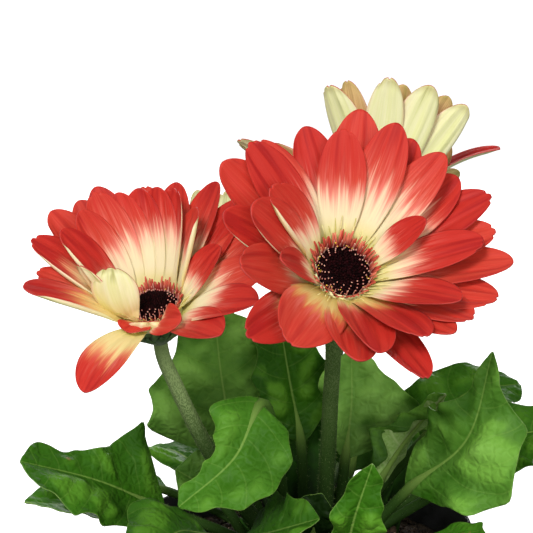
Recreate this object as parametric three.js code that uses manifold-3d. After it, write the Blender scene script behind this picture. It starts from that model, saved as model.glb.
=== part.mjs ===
// A potted gerbera: a round nursery pot filled with potting soil, a rosette of lobed leaves and
// four blooms on bare stalks. Millimetres, +Z up, the origin in the middle of the pot's underside.
// Every leaf and stalk stands in a plain hole in the soil.
import * as THREE from "three";
import { mergeVertices } from "three/addons/utils/BufferGeometryUtils.js";
import Module from "manifold-3d";

const wasm = await Module();
wasm.setup();

// ---------------------------------------------------------------- driving dimensions

const POT = {
  height: 103, // foot to rim
  rimRadius: 57,
  bandHeight: 15, // the thicker band below the rim
  bandStep: 2.2, // how far the band stands out of the wall
  footRadius: 40,
  edge: 0.8, // chamfers
  wall: 1.6,
  floor: 2.4,
  sides: 36,
  drainHoles: 8,
  drainSides: 8,
  drainRadius: 4,
  drainCircle: 29,
};
const BAND_FOOT = POT.rimRadius - 1; // radius at the band's lower edge
const UNDER_BAND = BAND_FOOT - POT.bandStep; // and of the wall just below it
const INNER_BEND = POT.height - POT.bandHeight - 1; // where the inside widens into the band
const SOIL = {
  top: 92, // height of the surface at the wall
  crownRise: 2.5, // the surface is mounded round the crown of the plant
  clearance: 0.4, // to the pot
  straight: 4, // how far a stalk or leaf stem rises above the surface before it leans
  sides: 28,
  holeSides: 7,
  holeFloor: 81, // bottom of the holes for stalks and leaf stems
  rings: [0.86, 0.72, 0.58], // rings of lumps on the surface, in shares of its radius
  lumps: 1.0, // their height
  lumpWaves: [[1.7, 0.9], [-0.6, 1.3]], // waves that shape them, in radians a millimetre
};
const SEAT_GAP = 0.3; // below a stalk or leaf stem in its hole
const STEM_PLAY = 1; // round it, because it leans
const TIP = 1; // the end of a petal or leaf, in shares of its length

const COLOURS = {
  pot: 0x17181a,
  soil: 0x2b1d14,
  petal: 0xd0332e,
  disc: 0x2a0d12,
  stalk: 0x6f8a56,
  leaf: 0x3d8428,
};

// A bloom's frame has its z along the bloom's axis and its y uphill. Petals are set by the clock:
// 0 degrees is uphill and 90 is to the right of someone who looks into the face of the bloom.
// Heights are above the bottom of the receptacle, the pad that the petals grow from.
const RECEPTACLE = { radius: 10.4, height: 5, sides: 14 };
const DISC = {
  gap: 0.3,
  radius: 8.3,
  shoulder: 0.4,
  rise: 3,
  dip: 1.2,
  florets: 16,
  rings: 4,
  relief: 0.8,
};
const CALYX = { gap: 0.4, depth: 7.6, lip: 10.6, waist: 6.2, bracts: 12, relief: 0.8 };
const FRINGE = { count: 14, length: 5, width: 1.4, circle: 9.3, lean: 22 }; // short florets
const STALK = { sides: 7, steps: 12, intoCup: 0.5, straight: 9 };

// Each row of petals has a width, a pitch above the bloom's plane at root and tip, and the height
// and radius of the roots. A petal in it is [clock, length] or [clock, length, change of the pitch
// at the tip]. A single states its own width and pitch.
const OUTER = { width: 16, radius: 9.4, height: 2.2 };
const INNER = { width: 15.5, radius: 9.2, height: 3.6 };
const SHORT = { width: 9.5, radius: 9, height: 4.2 };
const BLOOMS = [
  {
    name: "bloom_front",
    seed: 11,
    face: [11.4, -48, 199.3],
    axis: [0.19, -0.75, 0.63],
    size: 1.0,
    root: [6.2, -3, 5],
    route: [[7.4, -9, 122], [8.2, -18, 150], [8.6, -26, 170]],
    stalkRadius: [2.9, 2.4],
    rows: [
      { ...OUTER, pitch: [40, 22], petals: [[12, 45], [36, 41], [61, 40], [72, 45], [88, 42],
        [104, 46], [120, 43], [132, 40, 5], [145, 40, 8], [166, 45, -4], [192, 41, 8],
        [231, 45, -4], [258, 40, 12], [284, 40, 8], [305, 45], [326, 42], [350, 40]] },
      { ...INNER, pitch: [52, 30], petals: [[1, 38], [27, 43], [51, 42], [96, 39], [134, 38, 4],
        [159, 40], [181, 40, -3], [286, 37, 10], [316, 44, -5]] },
    ],
    singles: [
      { ...SHORT, clock: 76, length: 26, pitch: [64, 48] },
      { ...SHORT, clock: 256, length: 28, width: 11, pitch: [62, 42] },
      { ...SHORT, clock: 304, length: 33, width: 15, pitch: [60, 38] },
      { ...INNER, clock: 218, length: 41, width: 21, pitch: [48, 16] },
    ],
  },
  {
    name: "bloom_left",
    seed: 23,
    face: [-48.8, -38, 187],
    axis: [-0.13, -0.4, 0.907],
    size: 0.92,
    root: [-12.4, -6.2, 5],
    route: [[-27.3, -14, 123.5], [-35.4, -20, 140], [-42.6, -27, 158]],
    stalkRadius: [2.9, 2.3],
    rows: [
      { ...OUTER, pitch: [55, 41], petals: [[3, 41], [26, 44], [226, 45, -8],
        [245, 37, -6], [263, 43], [286, 44], [303, 42], [318, 44], [342, 40]] },
      { ...INNER, pitch: [71, 57], petals: [[11, 38], [37, 34], [264, 38, -4], [289, 38], [306, 41],
        [325, 38], [340, 38], [355, 38]] },
    ],
    singles: [
      { ...OUTER, clock: 46, length: 43, pitch: [52, 38], roll: -8 },
      { ...OUTER, clock: 67, length: 42, pitch: [47, 31], roll: -18 },
      { ...INNER, clock: 70, length: 28, width: 12, pitch: [62, 42], roll: -24 },
      { ...OUTER, clock: 88, length: 41, width: 17, pitch: [42, 22], roll: -26 },
      { ...OUTER, clock: 107, length: 41, pitch: [38, 14], roll: -14 },
      { ...OUTER, clock: 127, length: 36, pitch: [36, 5], roll: -10 },
      { ...OUTER, clock: 189, length: 40, width: 16, pitch: [25, -18], height: 1.8 },
      { ...INNER, clock: 152, length: 20, width: 12, pitch: [46, 16], turn: -50, roll: -34 },
      { ...INNER, clock: 166, length: 9, width: 15, pitch: [38, 84], height: 0.8 },
      { ...INNER, clock: 188, length: 9, width: 12, pitch: [34, 2], height: 4 },
      { ...INNER, clock: 214, length: 26, width: 16, pitch: [58, 104], roll: -36, turn: -16 },
      { ...INNER, clock: 236, length: 29, width: 13, pitch: [54, 74], roll: -30 },
    ],
  },
  {
    name: "bloom_back_right",
    seed: 37,
    face: [25.4, 46, 205],
    axis: [0.08, 0.7, 0.71],
    size: 1.0,
    root: [6.4, 13.4, 5],
    route: [[8, 18, 116], [10, 22, 148], [16, 26, 174]],
    stalkRadius: [2.8, 2.3],
    rows: [
      { ...OUTER, pitch: [33, 20], petals: [[15, 46], [69, 47, -4], [88, 46, -6], [110, 42],
        [131, 43], [152, 42], [175, 43], [199, 42], [220, 40], [240, 37], [319, 46], [338, 48],
        [354, 48]] },
      { ...INNER, pitch: [47, 33], petals: [[13, 43], [76, 38], [102, 38], [126, 39], [150, 38],
        [182, 38], [212, 38], [238, 34], [264, 30, 8], [298, 30, 6], [322, 43], [345, 42]] },
    ],
    singles: [
      { ...OUTER, clock: 289, length: 45, width: 13, pitch: [62, -6], roll: -42 },
    ],
  },
  {
    name: "bloom_back_left",
    seed: 53,
    face: [-29.5, 30, 182],
    axis: [-0.14, 0.22, 0.965],
    size: 0.82,
    root: [-6.4, 12.2, 5],
    route: [[-11, 18, 116], [-18, 23, 140], [-24.6, 26.4, 160]],
    stalkRadius: [2.5, 2.1],
    rows: [
      { ...OUTER, width: 14, pitch: [76, 68], petals: [[10, 42], [40, 44], [64, 42], [92, 43],
        [118, 42], [150, 43], [176, 42], [204, 43], [228, 42], [252, 42], [284, 43], [312, 42],
        [338, 42]] },
      { ...INNER, width: 12, pitch: [84, 76], petals: [[26, 38], [78, 37], [130, 38], [182, 37],
        [232, 38], [286, 37], [330, 38]] },
    ],
    singles: [],
  },
];

// A leaf's margin is a row of points [share of the blade's length, distance from the midrib] with
// hollow curves between them. The common ones are in shares of the blade's half width.
const MARGIN = {
  lobed: [[0.1, 0.6], [0.36, 1], [0.6, 0.84], [0.82, 0.52]],
  bold: [[0.16, 0.72], [0.46, 1], [0.74, 0.66]],
  even: [[0.24, 0.9], [0.5, 1], [0.76, 0.72]],
};

// Each leaf: its stem's hole in the soil, the midrib from the blade's foot over its middle to its
// tip, where its upper face looks at foot and tip, and its left and right margins, seen from the
// foot on the upper face, as lists of points or as two common ones with the blade's half widths.
const LEAVES = [
  { hole: [-18.4, -8.6], rib: [[-47, -16, 112], [-67, -31, 126], [-91, -46, 137]],
    looks: [[-0.1, -0.75, 0.65], [-0.3, -0.6, 0.7]],
    left: [[0.14, 20.5], [0.47, 18], [0.7, 19], [0.9, 11]],
    right: [[0.2, 25], [0.64, 9], [0.86, 9.5]] },
  { hole: [-12.6, 5.2], rib: [[-23, 9, 124], [-28, 14, 148], [-31, 22, 173]],
    looks: [[0.1, -0.9, 0.3], [0, -0.9, 0.45]],
    left: [[0.2, 29.5], [0.46, 26.3], [0.8, 14]], right: [[0.2, 18], [0.5, 20], [0.82, 15]] },
  { hole: [-5.4, -12.6], rib: [[-14, -27, 151], [-23, -39, 136], [-41, -48, 122]],
    looks: [[0.1, -0.8, 0.5], [0.1, -0.7, 0.7]],
    left: [[0.12, 13], [0.3, 18], [0.5, 18.5], [0.68, 15], [0.86, 8]],
    right: [[0.16, 15], [0.4, 10], [0.66, 6], [0.86, 5]] },
  { hole: [-11.6, -18.4], rib: [[-30, -38, 109], [-41, -54, 116], [-51, -76, 108]],
    looks: [[0.2, -0.3, 0.9], [0, -0.4, 0.9]], half: [18, 18], margins: ["lobed", "bold"] },
  { hole: [0, 6], rib: [[-1, 9, 128], [-5, 11, 150], [-9, 16, 174]],
    looks: [[0.25, -0.95, 0.2], [0.2, -0.9, 0.4]], half: [15, 15], margins: ["even", "even"] },
  { hole: [11.6, 7], rib: [[14, 4, 124], [16, 4, 142], [16, 7, 162]],
    looks: [[0.22, -0.9, 0.35], [0.15, -0.9, 0.5]],
    left: [[0.3, 9], [0.64, 13]], right: [[0.28, 31], [0.48, 23], [0.68, 15], [0.86, 8]] },
  { hole: [18.4, -10.4], rib: [[34, -17, 119], [52, -28, 139], [60, -28, 169]],
    looks: [[-0.3, -0.8, 0.5], [-0.3, -0.9, 0.2]],
    left: [[0.16, 11], [0.4, 18], [0.64, 13], [0.8, 6]],
    right: [[0.12, 12], [0.28, 22], [0.42, 26], [0.64, 19], [0.84, 7]] },
  { hole: [17, 13.4], rib: [[42, 18, 127], [57, 29, 140], [78, 38, 142]],
    looks: [[-0.2, -0.6, 0.7], [0, -0.5, 0.85]],
    left: [[0.16, 18], [0.4, 16], [0.66, 12], [0.9, 7]],
    right: [[0.2, 16], [0.46, 20], [0.7, 16], [0.9, 9]] },
  { hole: [21.4, -1.6], rib: [[54, 2, 118], [72, 6, 131], [92, 4, 134]],
    looks: [[0, -0.6, 0.8], [0.1, -0.5, 0.85]], half: [15, 18], margins: ["even", "bold"] },
  { hole: [6.8, -13], rib: [[12, -43, 106], [15, -54, 122], [20, -59, 140]],
    looks: [[0.2, -0.9, 0.4], [0.1, -0.9, 0.3]],
    left: [[0.2, 7.5], [0.5, 9], [0.76, 6]], right: [[0.16, 7], [0.4, 11], [0.66, 8], [0.84, 5.5]] },
  { hole: [13.6, -2.2], rib: [[25, -3, 117], [34, -2, 132], [48, -1, 148]],
    looks: [[-0.3, 0.9, 0.25], [-0.2, 0.9, 0.3]],
    left: [[0.3, 5], [0.7, 4]], right: [[0.14, 8], [0.32, 14], [0.6, 7.5], [0.86, 5]] },
  { hole: [-1, -15.6], rib: [[-22, -35, 107], [-11, -47, 114], [4, -55, 121]],
    looks: [[0.1, -0.6, 0.8], [0, -0.6, 0.8]], half: [16, 13], margins: ["lobed", "bold"] },
  { hole: [-20.8, 3.6], rib: [[-28, 4, 108], [-35, 5, 114], [-44, 4, 120]],
    looks: [[0, -0.75, 0.65], [-0.2, -0.7, 0.7]], half: [13, 14], margins: ["bold", "even"] },
  { hole: [12, -17.6], rib: [[31, -45, 109], [44, -66, 115], [56, -84, 108]],
    looks: [[0, -0.3, 0.9], [0, -0.4, 0.9]], half: [15, 15], margins: ["bold", "even"] },
  { hole: [20.6, 6.2], rib: [[42, 14, 109], [56, 20, 111], [72, 27, 105]],
    looks: [[0, -0.2, 1], [0, -0.2, 1]], half: [14, 14], margins: ["even", "even"] },
  { hole: [10, 19], rib: [[17, 31, 112], [24, 42, 128], [30, 54, 138]],
    looks: [[-0.1, -0.7, 0.7], [0, -0.5, 0.9]], half: [19, 18], margins: ["lobed", "bold"] },
  { hole: [-3, 21.4], rib: [[-5, 33, 112], [-8, 44, 130], [-10, 56, 142]],
    looks: [[0, -0.7, 0.7], [0, -0.5, 0.9]], half: [19, 17], margins: ["bold", "lobed"] },
  { hole: [-16.4, 13.8], rib: [[-33, 34, 108], [-48, 51, 114], [-63, 67, 106]],
    looks: [[0, -0.2, 1], [-0.1, 0.1, 1]], half: [16, 16], margins: ["lobed", "lobed"] },
  { hole: [-21.4, -2.6], rib: [[-48, -12, 108], [-70, -24, 115], [-91, -37, 121]],
    looks: [[0, -0.2, 1], [-0.2, -0.3, 1]], half: [12, 12], margins: ["bold", "even"] },
  { hole: [14, 21], rib: [[38, 48, 109], [53, 65, 113], [68, 80, 101]],
    looks: [[0, 0, 1], [0.2, 0.2, 1]], half: [17, 17], margins: ["bold", "lobed"] },
  { hole: [4, 24], rib: [[14, 49, 108], [20, 71, 111], [26, 91, 99]],
    looks: [[0, 0, 1], [0, 0.2, 1]], half: [16, 16], margins: ["lobed", "even"] },
  { hole: [-10, 20.6], rib: [[-18, 50, 107], [-26, 73, 108], [-36, 91, 96]],
    looks: [[0, 0, 1], [0, 0.2, 1]], half: [15, 15], margins: ["even", "bold"] },
  { hole: [-20, 9.6], rib: [[-48, 19, 108], [-68, 27, 109], [-86, 34, 100]],
    looks: [[0, 0, 1], [-0.2, 0.1, 1]], half: [14, 14], margins: ["bold", "even"] },
  { hole: [3.4, -20.4], rib: [[2.5, -26, 105], [3, -29.5, 113], [5, -31, 122]],
    looks: [[0, -0.9, 0.35], [0, -0.9, 0.4]], half: [9, 7.5], margins: ["even", "bold"] },
];
const BLADE = {
  columns: 4, // steps across a leaf blade
  stemSteps: 4, // steps along the leaf stem
  stemHalfWidth: 1.7,
  stemDepth: 2.4,
  thickness: 1.1, // of the blade beside the rib
  ribDepth: 0.9, // how far the rib stands out below
  fold: 11, // how far the two halves stand up from the rib, in degrees
  sweep: 0.25, // how far the margin runs ahead of the rib, in shares of its distance
  hollow: 0.16, // depth of the curve between two points of the margin, in shares of its length
  wave: 0.09, // height of the margin's waves, in shares of its distance
  waves: 7, // how many half waves a margin has
};
const PETAL = {
  rows: [0, 0.22, 0.5, 0.74, 0.92], // shares of the length at which a petal has a ring
  claw: 0.34, // half width at the root, in shares of the greatest
  widest: 0.6, // where that is, in shares of the length
  taper: 0.68, // how pointed the tip is: 0.5 gives a half ellipse
  thickness: 1.1,
  roll: 13, // how far a petal of a row lies tilted over its neighbour, in degrees
  substeps: 30,
};
const SPREAD = { width: 0.09, pitch: 2, turn: 5, roll: 3, cup: 0.08 }; // of the draws on petals

// ---------------------------------------------------------------- helpers

const radians = THREE.MathUtils.degToRad;
const mix = THREE.MathUtils.lerp;

// A fixed draw between -1 and 1 for the numbers seed and index.
function draw(seed, index) {
  const x = Math.sin(seed * 12.9898 + index * 78.233) * 43758.5453;
  return 2 * (x - Math.floor(x)) - 1;
}

// A closed three.js geometry as a solid that can be cut and joined.
function toSolid(geometry) {
  const bare = geometry.clone();
  bare.deleteAttribute("normal");
  bare.deleteAttribute("uv");
  const merged = mergeVertices(bare, 1e-4);
  return new wasm.Manifold(
    new wasm.Mesh({
      numProp: 3,
      vertProperties: new Float32Array(merged.attributes.position.array),
      triVerts: new Uint32Array(merged.index.array),
    }),
  );
}

function toGeometry(solid) {
  const mesh = solid.getMesh();
  const geometry = new THREE.BufferGeometry();
  geometry.setAttribute("position", new THREE.BufferAttribute(mesh.vertProperties, 3));
  geometry.setIndex(new THREE.BufferAttribute(mesh.triVerts, 1));
  geometry.computeVertexNormals();
  return geometry;
}

function join(solids) {
  return solids.reduce((all, next) => all.add(next));
}

function meshOf(name, geometry, colour, roughness = 0.6) {
  const material = new THREE.MeshStandardMaterial({ color: colour, roughness, metalness: 0 });
  const mesh = new THREE.Mesh(geometry, material);
  mesh.name = name;
  return mesh;
}

// A lathe turns about Y, so its solid is stood up to turn about Z.
function turned(profile, sides) {
  const points = profile.map(([r, z]) => new THREE.Vector2(r, z));
  return new THREE.LatheGeometry(points, sides).rotateX(Math.PI / 2);
}

// A closed skin over rings of points that ends in one point. A ring runs over the upper face from
// the left edge to the right one and back under it. Both faces are split alike, so a waved blade
// never passes through itself.
function skin(rings, tip, upperSteps) {
  const around = rings[0].length;
  const points = [...rings.flat(), tip];
  const faces = [];
  for (let i = 0; i + 1 < rings.length; i++)
    for (let j = 0; j < around; j++) {
      const a = i * around + j;
      const b = i * around + ((j + 1) % around);
      const c = a + around;
      const d = b + around;
      if (j < upperSteps) faces.push(a, b, d, a, d, c);
      else faces.push(a, b, c, b, d, c);
    }
  const last = (rings.length - 1) * around;
  for (let j = 0; j < around; j++) faces.push(last + j, last + ((j + 1) % around), points.length - 1);
  for (let j = 1; j + 1 < around; j++) faces.push(0, j + 1, j);
  const geometry = new THREE.BufferGeometry().setFromPoints(points);
  geometry.setIndex(faces);
  return geometry;
}

// ---------------------------------------------------------------- pot and soil

function potGeometry() {
  const { height, rimRadius, bandHeight, footRadius, edge, wall, floor } = POT;
  const outer = [[0, 0], [footRadius - 2 * edge, 0], [footRadius, 2 * edge],
    [UNDER_BAND, height - bandHeight], [BAND_FOOT, height - bandHeight + edge],
    [rimRadius, height - edge], [rimRadius - edge, height]];
  const inner = [[rimRadius - wall, height], [UNDER_BAND - wall, INNER_BEND],
    [footRadius - wall, floor], [0, floor]];
  const body = toSolid(turned([...outer, ...inner], POT.sides));
  const holes = [];
  for (let i = 0; i < POT.drainHoles; i++) {
    const angle = (2 * Math.PI * (i + 0.5)) / POT.drainHoles;
    const length = 4 * floor;
    const hole = new THREE.CylinderGeometry(POT.drainRadius, POT.drainRadius, length, POT.drainSides);
    hole.rotateX(Math.PI / 2);
    hole.translate(POT.drainCircle * Math.cos(angle), POT.drainCircle * Math.sin(angle), 0);
    holes.push(toSolid(hole));
  }
  return toGeometry(body.subtract(join(holes)));
}

// Radius of the pot's inside at a height.
function innerRadius(z) {
  const low = POT.footRadius - POT.wall;
  const wide = UNDER_BAND - POT.wall;
  if (z < INNER_BEND) return mix(low, wide, (z - POT.floor) / (INNER_BEND - POT.floor));
  return mix(wide, POT.rimRadius - POT.wall, (z - INNER_BEND) / (POT.height - INNER_BEND));
}

function soilGeometry(holes) {
  const base = POT.floor + SOIL.clearance;
  const besideWall = (z) => [innerRadius(z) - SOIL.clearance, z];
  const wallTop = besideWall(SOIL.top)[0];
  const profile = [[0, base], besideWall(base), besideWall(INNER_BEND), besideWall(SOIL.top)];
  for (const share of SOIL.rings) {
    const rise = SOIL.crownRise * (1 - share * share);
    profile.push([wallTop * share, SOIL.top + rise]);
  }
  profile.push([0, SOIL.top + SOIL.crownRise]);
  const geometry = turned(profile, SOIL.sides);
  const place = geometry.attributes.position;
  for (let i = 0; i < place.count; i++) {
    const [x, y, z] = [place.getX(i), place.getY(i), place.getZ(i)];
    const r = Math.hypot(x, y);
    if (r > wallTop * SOIL.rings[0] + 1 || r < 1 || z < SOIL.top) continue;
    const [a, b] = SOIL.lumpWaves;
    const lump = Math.sin(a[0] * x + a[1] * y) * Math.cos(b[0] * x + b[1] * y);
    place.setZ(i, z + SOIL.lumps * lump);
  }
  let soil = toSolid(geometry);
  const depth = SOIL.top + 4 * SOIL.crownRise - SOIL.holeFloor;
  for (const { x, y, radius } of holes) {
    const hole = new THREE.CylinderGeometry(radius, radius, depth, SOIL.holeSides);
    hole.rotateX(Math.PI / 2);
    hole.translate(x, y, SOIL.holeFloor + depth / 2);
    soil = soil.subtract(toSolid(hole));
  }
  return toGeometry(soil);
}

// ---------------------------------------------------------------- petals and blooms

// Half width of a petal at share t of its length, in shares of its greatest half width: a narrow
// claw, the widest place beyond the middle and a round end.
function petalShape(t) {
  const { claw, widest, taper } = PETAL;
  if (t < widest) return claw + (1 - claw) * Math.sin((Math.PI / 2) * (t / widest));
  return Math.max(0, 1 - ((t - widest) / (TIP - widest)) ** 2) ** taper;
}

// A petal's centre line and its frame at share t: it leaves its root at the first pitch and bends
// evenly to the second, and turns a little to one side.
function petalFrame(petal, t) {
  const at = new THREE.Vector3(0, 0, 0);
  const clock = (share) => radians(petal.clock + petal.turn * share);
  const pitch = (share) => radians(mix(petal.pitch[0], petal.pitch[1], share));
  at.set(Math.sin(clock(0)) * petal.radius, Math.cos(clock(0)) * petal.radius, petal.height);
  const step = t / PETAL.substeps;
  for (let i = 0; i < PETAL.substeps; i++) {
    const share = (i + 0.5) * step;
    const out = Math.cos(pitch(share)) * petal.length * step;
    at.x += Math.sin(clock(share)) * out;
    at.y += Math.cos(clock(share)) * out;
    at.z += Math.sin(pitch(share)) * petal.length * step;
  }
  const outward = new THREE.Vector3(Math.sin(clock(t)), Math.cos(clock(t)), 0);
  const normal = outward.clone().multiplyScalar(-Math.sin(pitch(t)));
  normal.z = Math.cos(pitch(t));
  const across = new THREE.Vector3(Math.cos(clock(t)), -Math.sin(clock(t)), 0);
  const roll = radians(petal.roll) * Math.min(1, 5 * t);
  const side = across.clone().multiplyScalar(Math.cos(roll)).addScaledVector(normal, Math.sin(roll));
  const face = normal.clone().multiplyScalar(Math.cos(roll)).addScaledVector(across, -Math.sin(roll));
  return { at, side, face };
}

function petalSolid(petal) {
  const rings = PETAL.rows.map((t) => {
    const { at, side, face } = petalFrame(petal, t);
    const half = (petal.width / 2) * petalShape(t);
    const lift = petal.cup * half; // how far the edges stand above the middle
    const thick = (PETAL.thickness * Math.min(1, 0.5 + half / 4)) / 2;
    const left = at.clone().addScaledVector(side, -half).addScaledVector(face, lift);
    const right = at.clone().addScaledVector(side, half).addScaledVector(face, lift);
    const top = at.clone().addScaledVector(face, thick);
    const under = at.clone().addScaledVector(face, -thick);
    return [left, top, right, under];
  });
  return toSolid(skin(rings, petalFrame(petal, TIP).at, 2));
}

// All petals of a bloom, with small seeded draws on what the rows leave open, then the singles.
function petalsOf(bloom) {
  const petals = [];
  for (const row of bloom.rows)
    for (const [clock, length, tipPitch = 0] of row.petals) {
      const n = petals.length;
      petals.push({
        ...row,
        clock,
        length,
        width: row.width * (1 + SPREAD.width * draw(bloom.seed, n)),
        pitch: [
          row.pitch[0] + tipPitch / 2,
          row.pitch[1] + tipPitch + SPREAD.pitch * draw(bloom.seed, n + 100),
        ],
        turn: SPREAD.turn * draw(bloom.seed, n + 200),
        roll: PETAL.roll + SPREAD.roll * draw(bloom.seed, n + 300),
        cup: 0.1 + SPREAD.cup * draw(bloom.seed, n + 400),
      });
    }
  for (const single of bloom.singles) petals.push({ turn: 0, roll: 4, cup: 0.2, ...single });
  return petals;
}

function raysGeometry(bloom) {
  const { radius, height, sides } = RECEPTACLE;
  const pad = toSolid(turned([[0, 0], [radius - 1, 0], [radius, 1.4], [radius, height - 1],
    [radius - 0.6, height], [0, height]], sides));
  const petals = petalsOf(bloom).map(petalSolid);
  const fringe = [];
  for (let i = 0; i < FRINGE.count; i++) {
    const angle = (2 * Math.PI * (i + 0.4 * draw(bloom.seed, i + 800))) / FRINGE.count;
    const spike = new THREE.ConeGeometry(FRINGE.width / 2, FRINGE.length, 3);
    spike.translate(0, FRINGE.length / 2 - 1, 0);
    spike.rotateX(Math.PI / 2);
    spike.rotateX(radians(FRINGE.lean + 12 * draw(bloom.seed, i + 900)));
    spike.translate(0, -FRINGE.circle, height);
    spike.rotateZ(angle);
    fringe.push(toSolid(spike));
  }
  return toGeometry(join([pad, ...petals, ...fringe]));
}

// The eye of the bloom: a cushion with a dip in the middle. Every second point of its rings is
// raised, which makes rows of small florets.
function discGeometry() {
  const { gap, radius, rise, dip, florets, rings, relief, shoulder } = DISC;
  const base = RECEPTACLE.height + gap;
  const profile = [[0, base], [radius - 1.4, base]];
  for (let i = 0; i < rings; i++) {
    const share = i / rings;
    const bulge = rise * Math.sin(Math.min(1, 1.5 * (share + 0.2)) * (Math.PI / 2));
    profile.push([ringRadius(share), base + shoulder + bulge - dip * share * share]);
  }
  profile.push([0, base + shoulder + rise - dip]);
  const geometry = turned(profile, florets);
  const place = geometry.attributes.position;
  for (let i = 0; i < place.count; i++) {
    const [x, y, z] = [place.getX(i), place.getY(i), place.getZ(i)];
    const r = Math.hypot(x, y);
    if (z < base + 0.3 || r < 1) continue;
    const step = Math.round((Math.atan2(y, x) / (2 * Math.PI)) * florets);
    const ring = Math.round((Math.acos(Math.min(1, r / ringRadius(0))) / (Math.PI / 2)) * rings);
    if ((step + ring) % 2 !== 0) continue;
    const wider = 1 + (0.35 * relief) / r;
    place.setXYZ(i, x * wider, y * wider, z + relief);
  }
  return geometry;
}

// Radius of a ring of florets, from the rim of the disc at share 0 to its middle at share 1.
function ringRadius(share) {
  return (DISC.radius - 0.9) * Math.cos((share * Math.PI) / 2);
}

// The frame of a bloom as a matrix: its face (the disc's middle) and its axis give it.
function bloomMatrix(bloom) {
  const z = new THREE.Vector3(...bloom.axis).normalize();
  const y = new THREE.Vector3(0, 0, 1).addScaledVector(z, -z.z).normalize();
  const x = new THREE.Vector3().crossVectors(y, z);
  const lift = (RECEPTACLE.height + DISC.rise) * bloom.size;
  const foot = new THREE.Vector3(...bloom.face).addScaledVector(z, -lift);
  const matrix = new THREE.Matrix4().makeBasis(x, y, z).setPosition(foot);
  return matrix.scale(new THREE.Vector3(bloom.size, bloom.size, bloom.size));
}

// The green cup of bracts under a bloom: a lathed bowl whose bracts stand out by a formula.
function cupSolid(neck) {
  const { gap, depth, lip, waist, bracts, relief } = CALYX;
  const bowl = turned([[0, -depth - 2], [neck - 0.3, -depth - 2], [neck + 0.6, -depth],
    [waist, -0.68 * depth], [lip, -gap - 0.5], [lip - 1.4, -gap], [0, -gap]], 2 * bracts);
  const place = bowl.attributes.position;
  for (let i = 0; i < place.count; i++) {
    const [x, y, z] = [place.getX(i), place.getY(i), place.getZ(i)];
    const r = Math.hypot(x, y);
    if (r < neck + 1 || z > -gap - 0.3) continue;
    const step = Math.round((Math.atan2(y, x) / Math.PI) * bracts);
    const out = step % 2 === 0 ? relief : -relief / 2;
    place.setXYZ(i, (x * (r + out)) / r, (y * (r + out)) / r, z);
  }
  return toSolid(bowl);
}

// Points on a stem's centre line in its hole: it stands upright until it is clear of the soil.
function outOfSoil([x, y]) {
  const bottom = SOIL.holeFloor + SEAT_GAP;
  const clear = SOIL.top + SOIL.straight;
  return [bottom, mix(bottom, clear, 0.6), clear].map((z) => new THREE.Vector3(x, y, z));
}

// The stalk, from its hole in the soil into the cup that holds the bloom.
function stalkGeometry(bloom) {
  const matrix = bloomMatrix(bloom);
  const [thick, thin] = bloom.stalkRadius;
  const onAxis = (depth) => new THREE.Vector3(0, 0, -depth).applyMatrix4(matrix);
  const path = new THREE.CatmullRomCurve3([
    ...outOfSoil(bloom.root),
    ...bloom.route.map((point) => new THREE.Vector3(...point)),
    onAxis(CALYX.depth + STALK.straight),
    onAxis(CALYX.depth + STALK.intoCup),
  ], false, "centripetal");
  const tube = tapered(path, STALK.steps, (share) => mix(thick, thin, share), STALK.sides);
  const cup = cupSolid(thin / bloom.size).transform(matrix.elements);
  return toGeometry(toSolid(tube).add(cup));
}

// A round stem along a curve that gets thinner: an extrusion along the curve whose rings are then
// drawn in.
function tapered(path, steps, radiusAt, sides) {
  const round = new THREE.Shape();
  for (let i = 0; i < sides; i++) {
    const angle = (2 * Math.PI * i) / sides;
    if (i === 0) round.moveTo(1, 0);
    else round.lineTo(Math.cos(angle), Math.sin(angle));
  }
  round.closePath();
  const geometry = new THREE.ExtrudeGeometry(round, { steps, extrudePath: path, bevelEnabled: false });
  const place = geometry.attributes.position;
  const centres = path.getSpacedPoints(steps);
  const spot = new THREE.Vector3();
  for (let i = 0; i < place.count; i++) {
    spot.fromBufferAttribute(place, i);
    let nearest = 0;
    for (let k = 1; k <= steps; k++)
      if (centres[k].distanceToSquared(spot) < centres[nearest].distanceToSquared(spot)) nearest = k;
    spot.sub(centres[nearest]).setLength(radiusAt(nearest / steps)).add(centres[nearest]);
    place.setXYZ(i, spot.x, spot.y, spot.z);
  }
  return geometry;
}

// ---------------------------------------------------------------- leaves

// The points of a leaf's left (side 0) or right (side 1) margin, from the blade's foot to its tip.
function marginPoints(leaf, side) {
  const listed = side === 0 ? leaf.left : leaf.right;
  const points = listed ?? MARGIN[leaf.margins[side]].map(([v, share]) => [v, share * leaf.half[side]]);
  return [[0, BLADE.stemHalfWidth], ...points, [1, 0]];
}

// Distance of a margin from the midrib at share v of the blade: hollow between two points, round
// from the last one to the tip.
function marginAt(points, v, length) {
  let k = 0;
  while (k + 2 < points.length && v > points[k + 1][0]) k++;
  const [[v0, h0], [v1, h1]] = [points[k], points[k + 1]];
  const s = (v - v0) / (v1 - v0);
  if (k === points.length - 2) return h0 * (1 - s) * (1 + 0.9 * s);
  const hollow = k === 0 ? 0 : BLADE.hollow * (v1 - v0) * length;
  return Math.max(BLADE.stemHalfWidth, mix(h0, h1, s) - 4 * hollow * s * (1 - s));
}

// The leaf's whole centre line, from its hole in the soil to its tip.
function leafPath(leaf) {
  const blade = leaf.rib.map((point) => new THREE.Vector3(...point));
  return new THREE.CatmullRomCurve3([...outOfSoil(leaf.hole), ...blade], false, "centripetal");
}

// Where the blade's foot, the fourth of the six points, is on the path, in shares of its length.
function footShare(path) {
  const lengths = path.getLengths(400);
  return lengths[240] / lengths[400];
}

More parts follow.
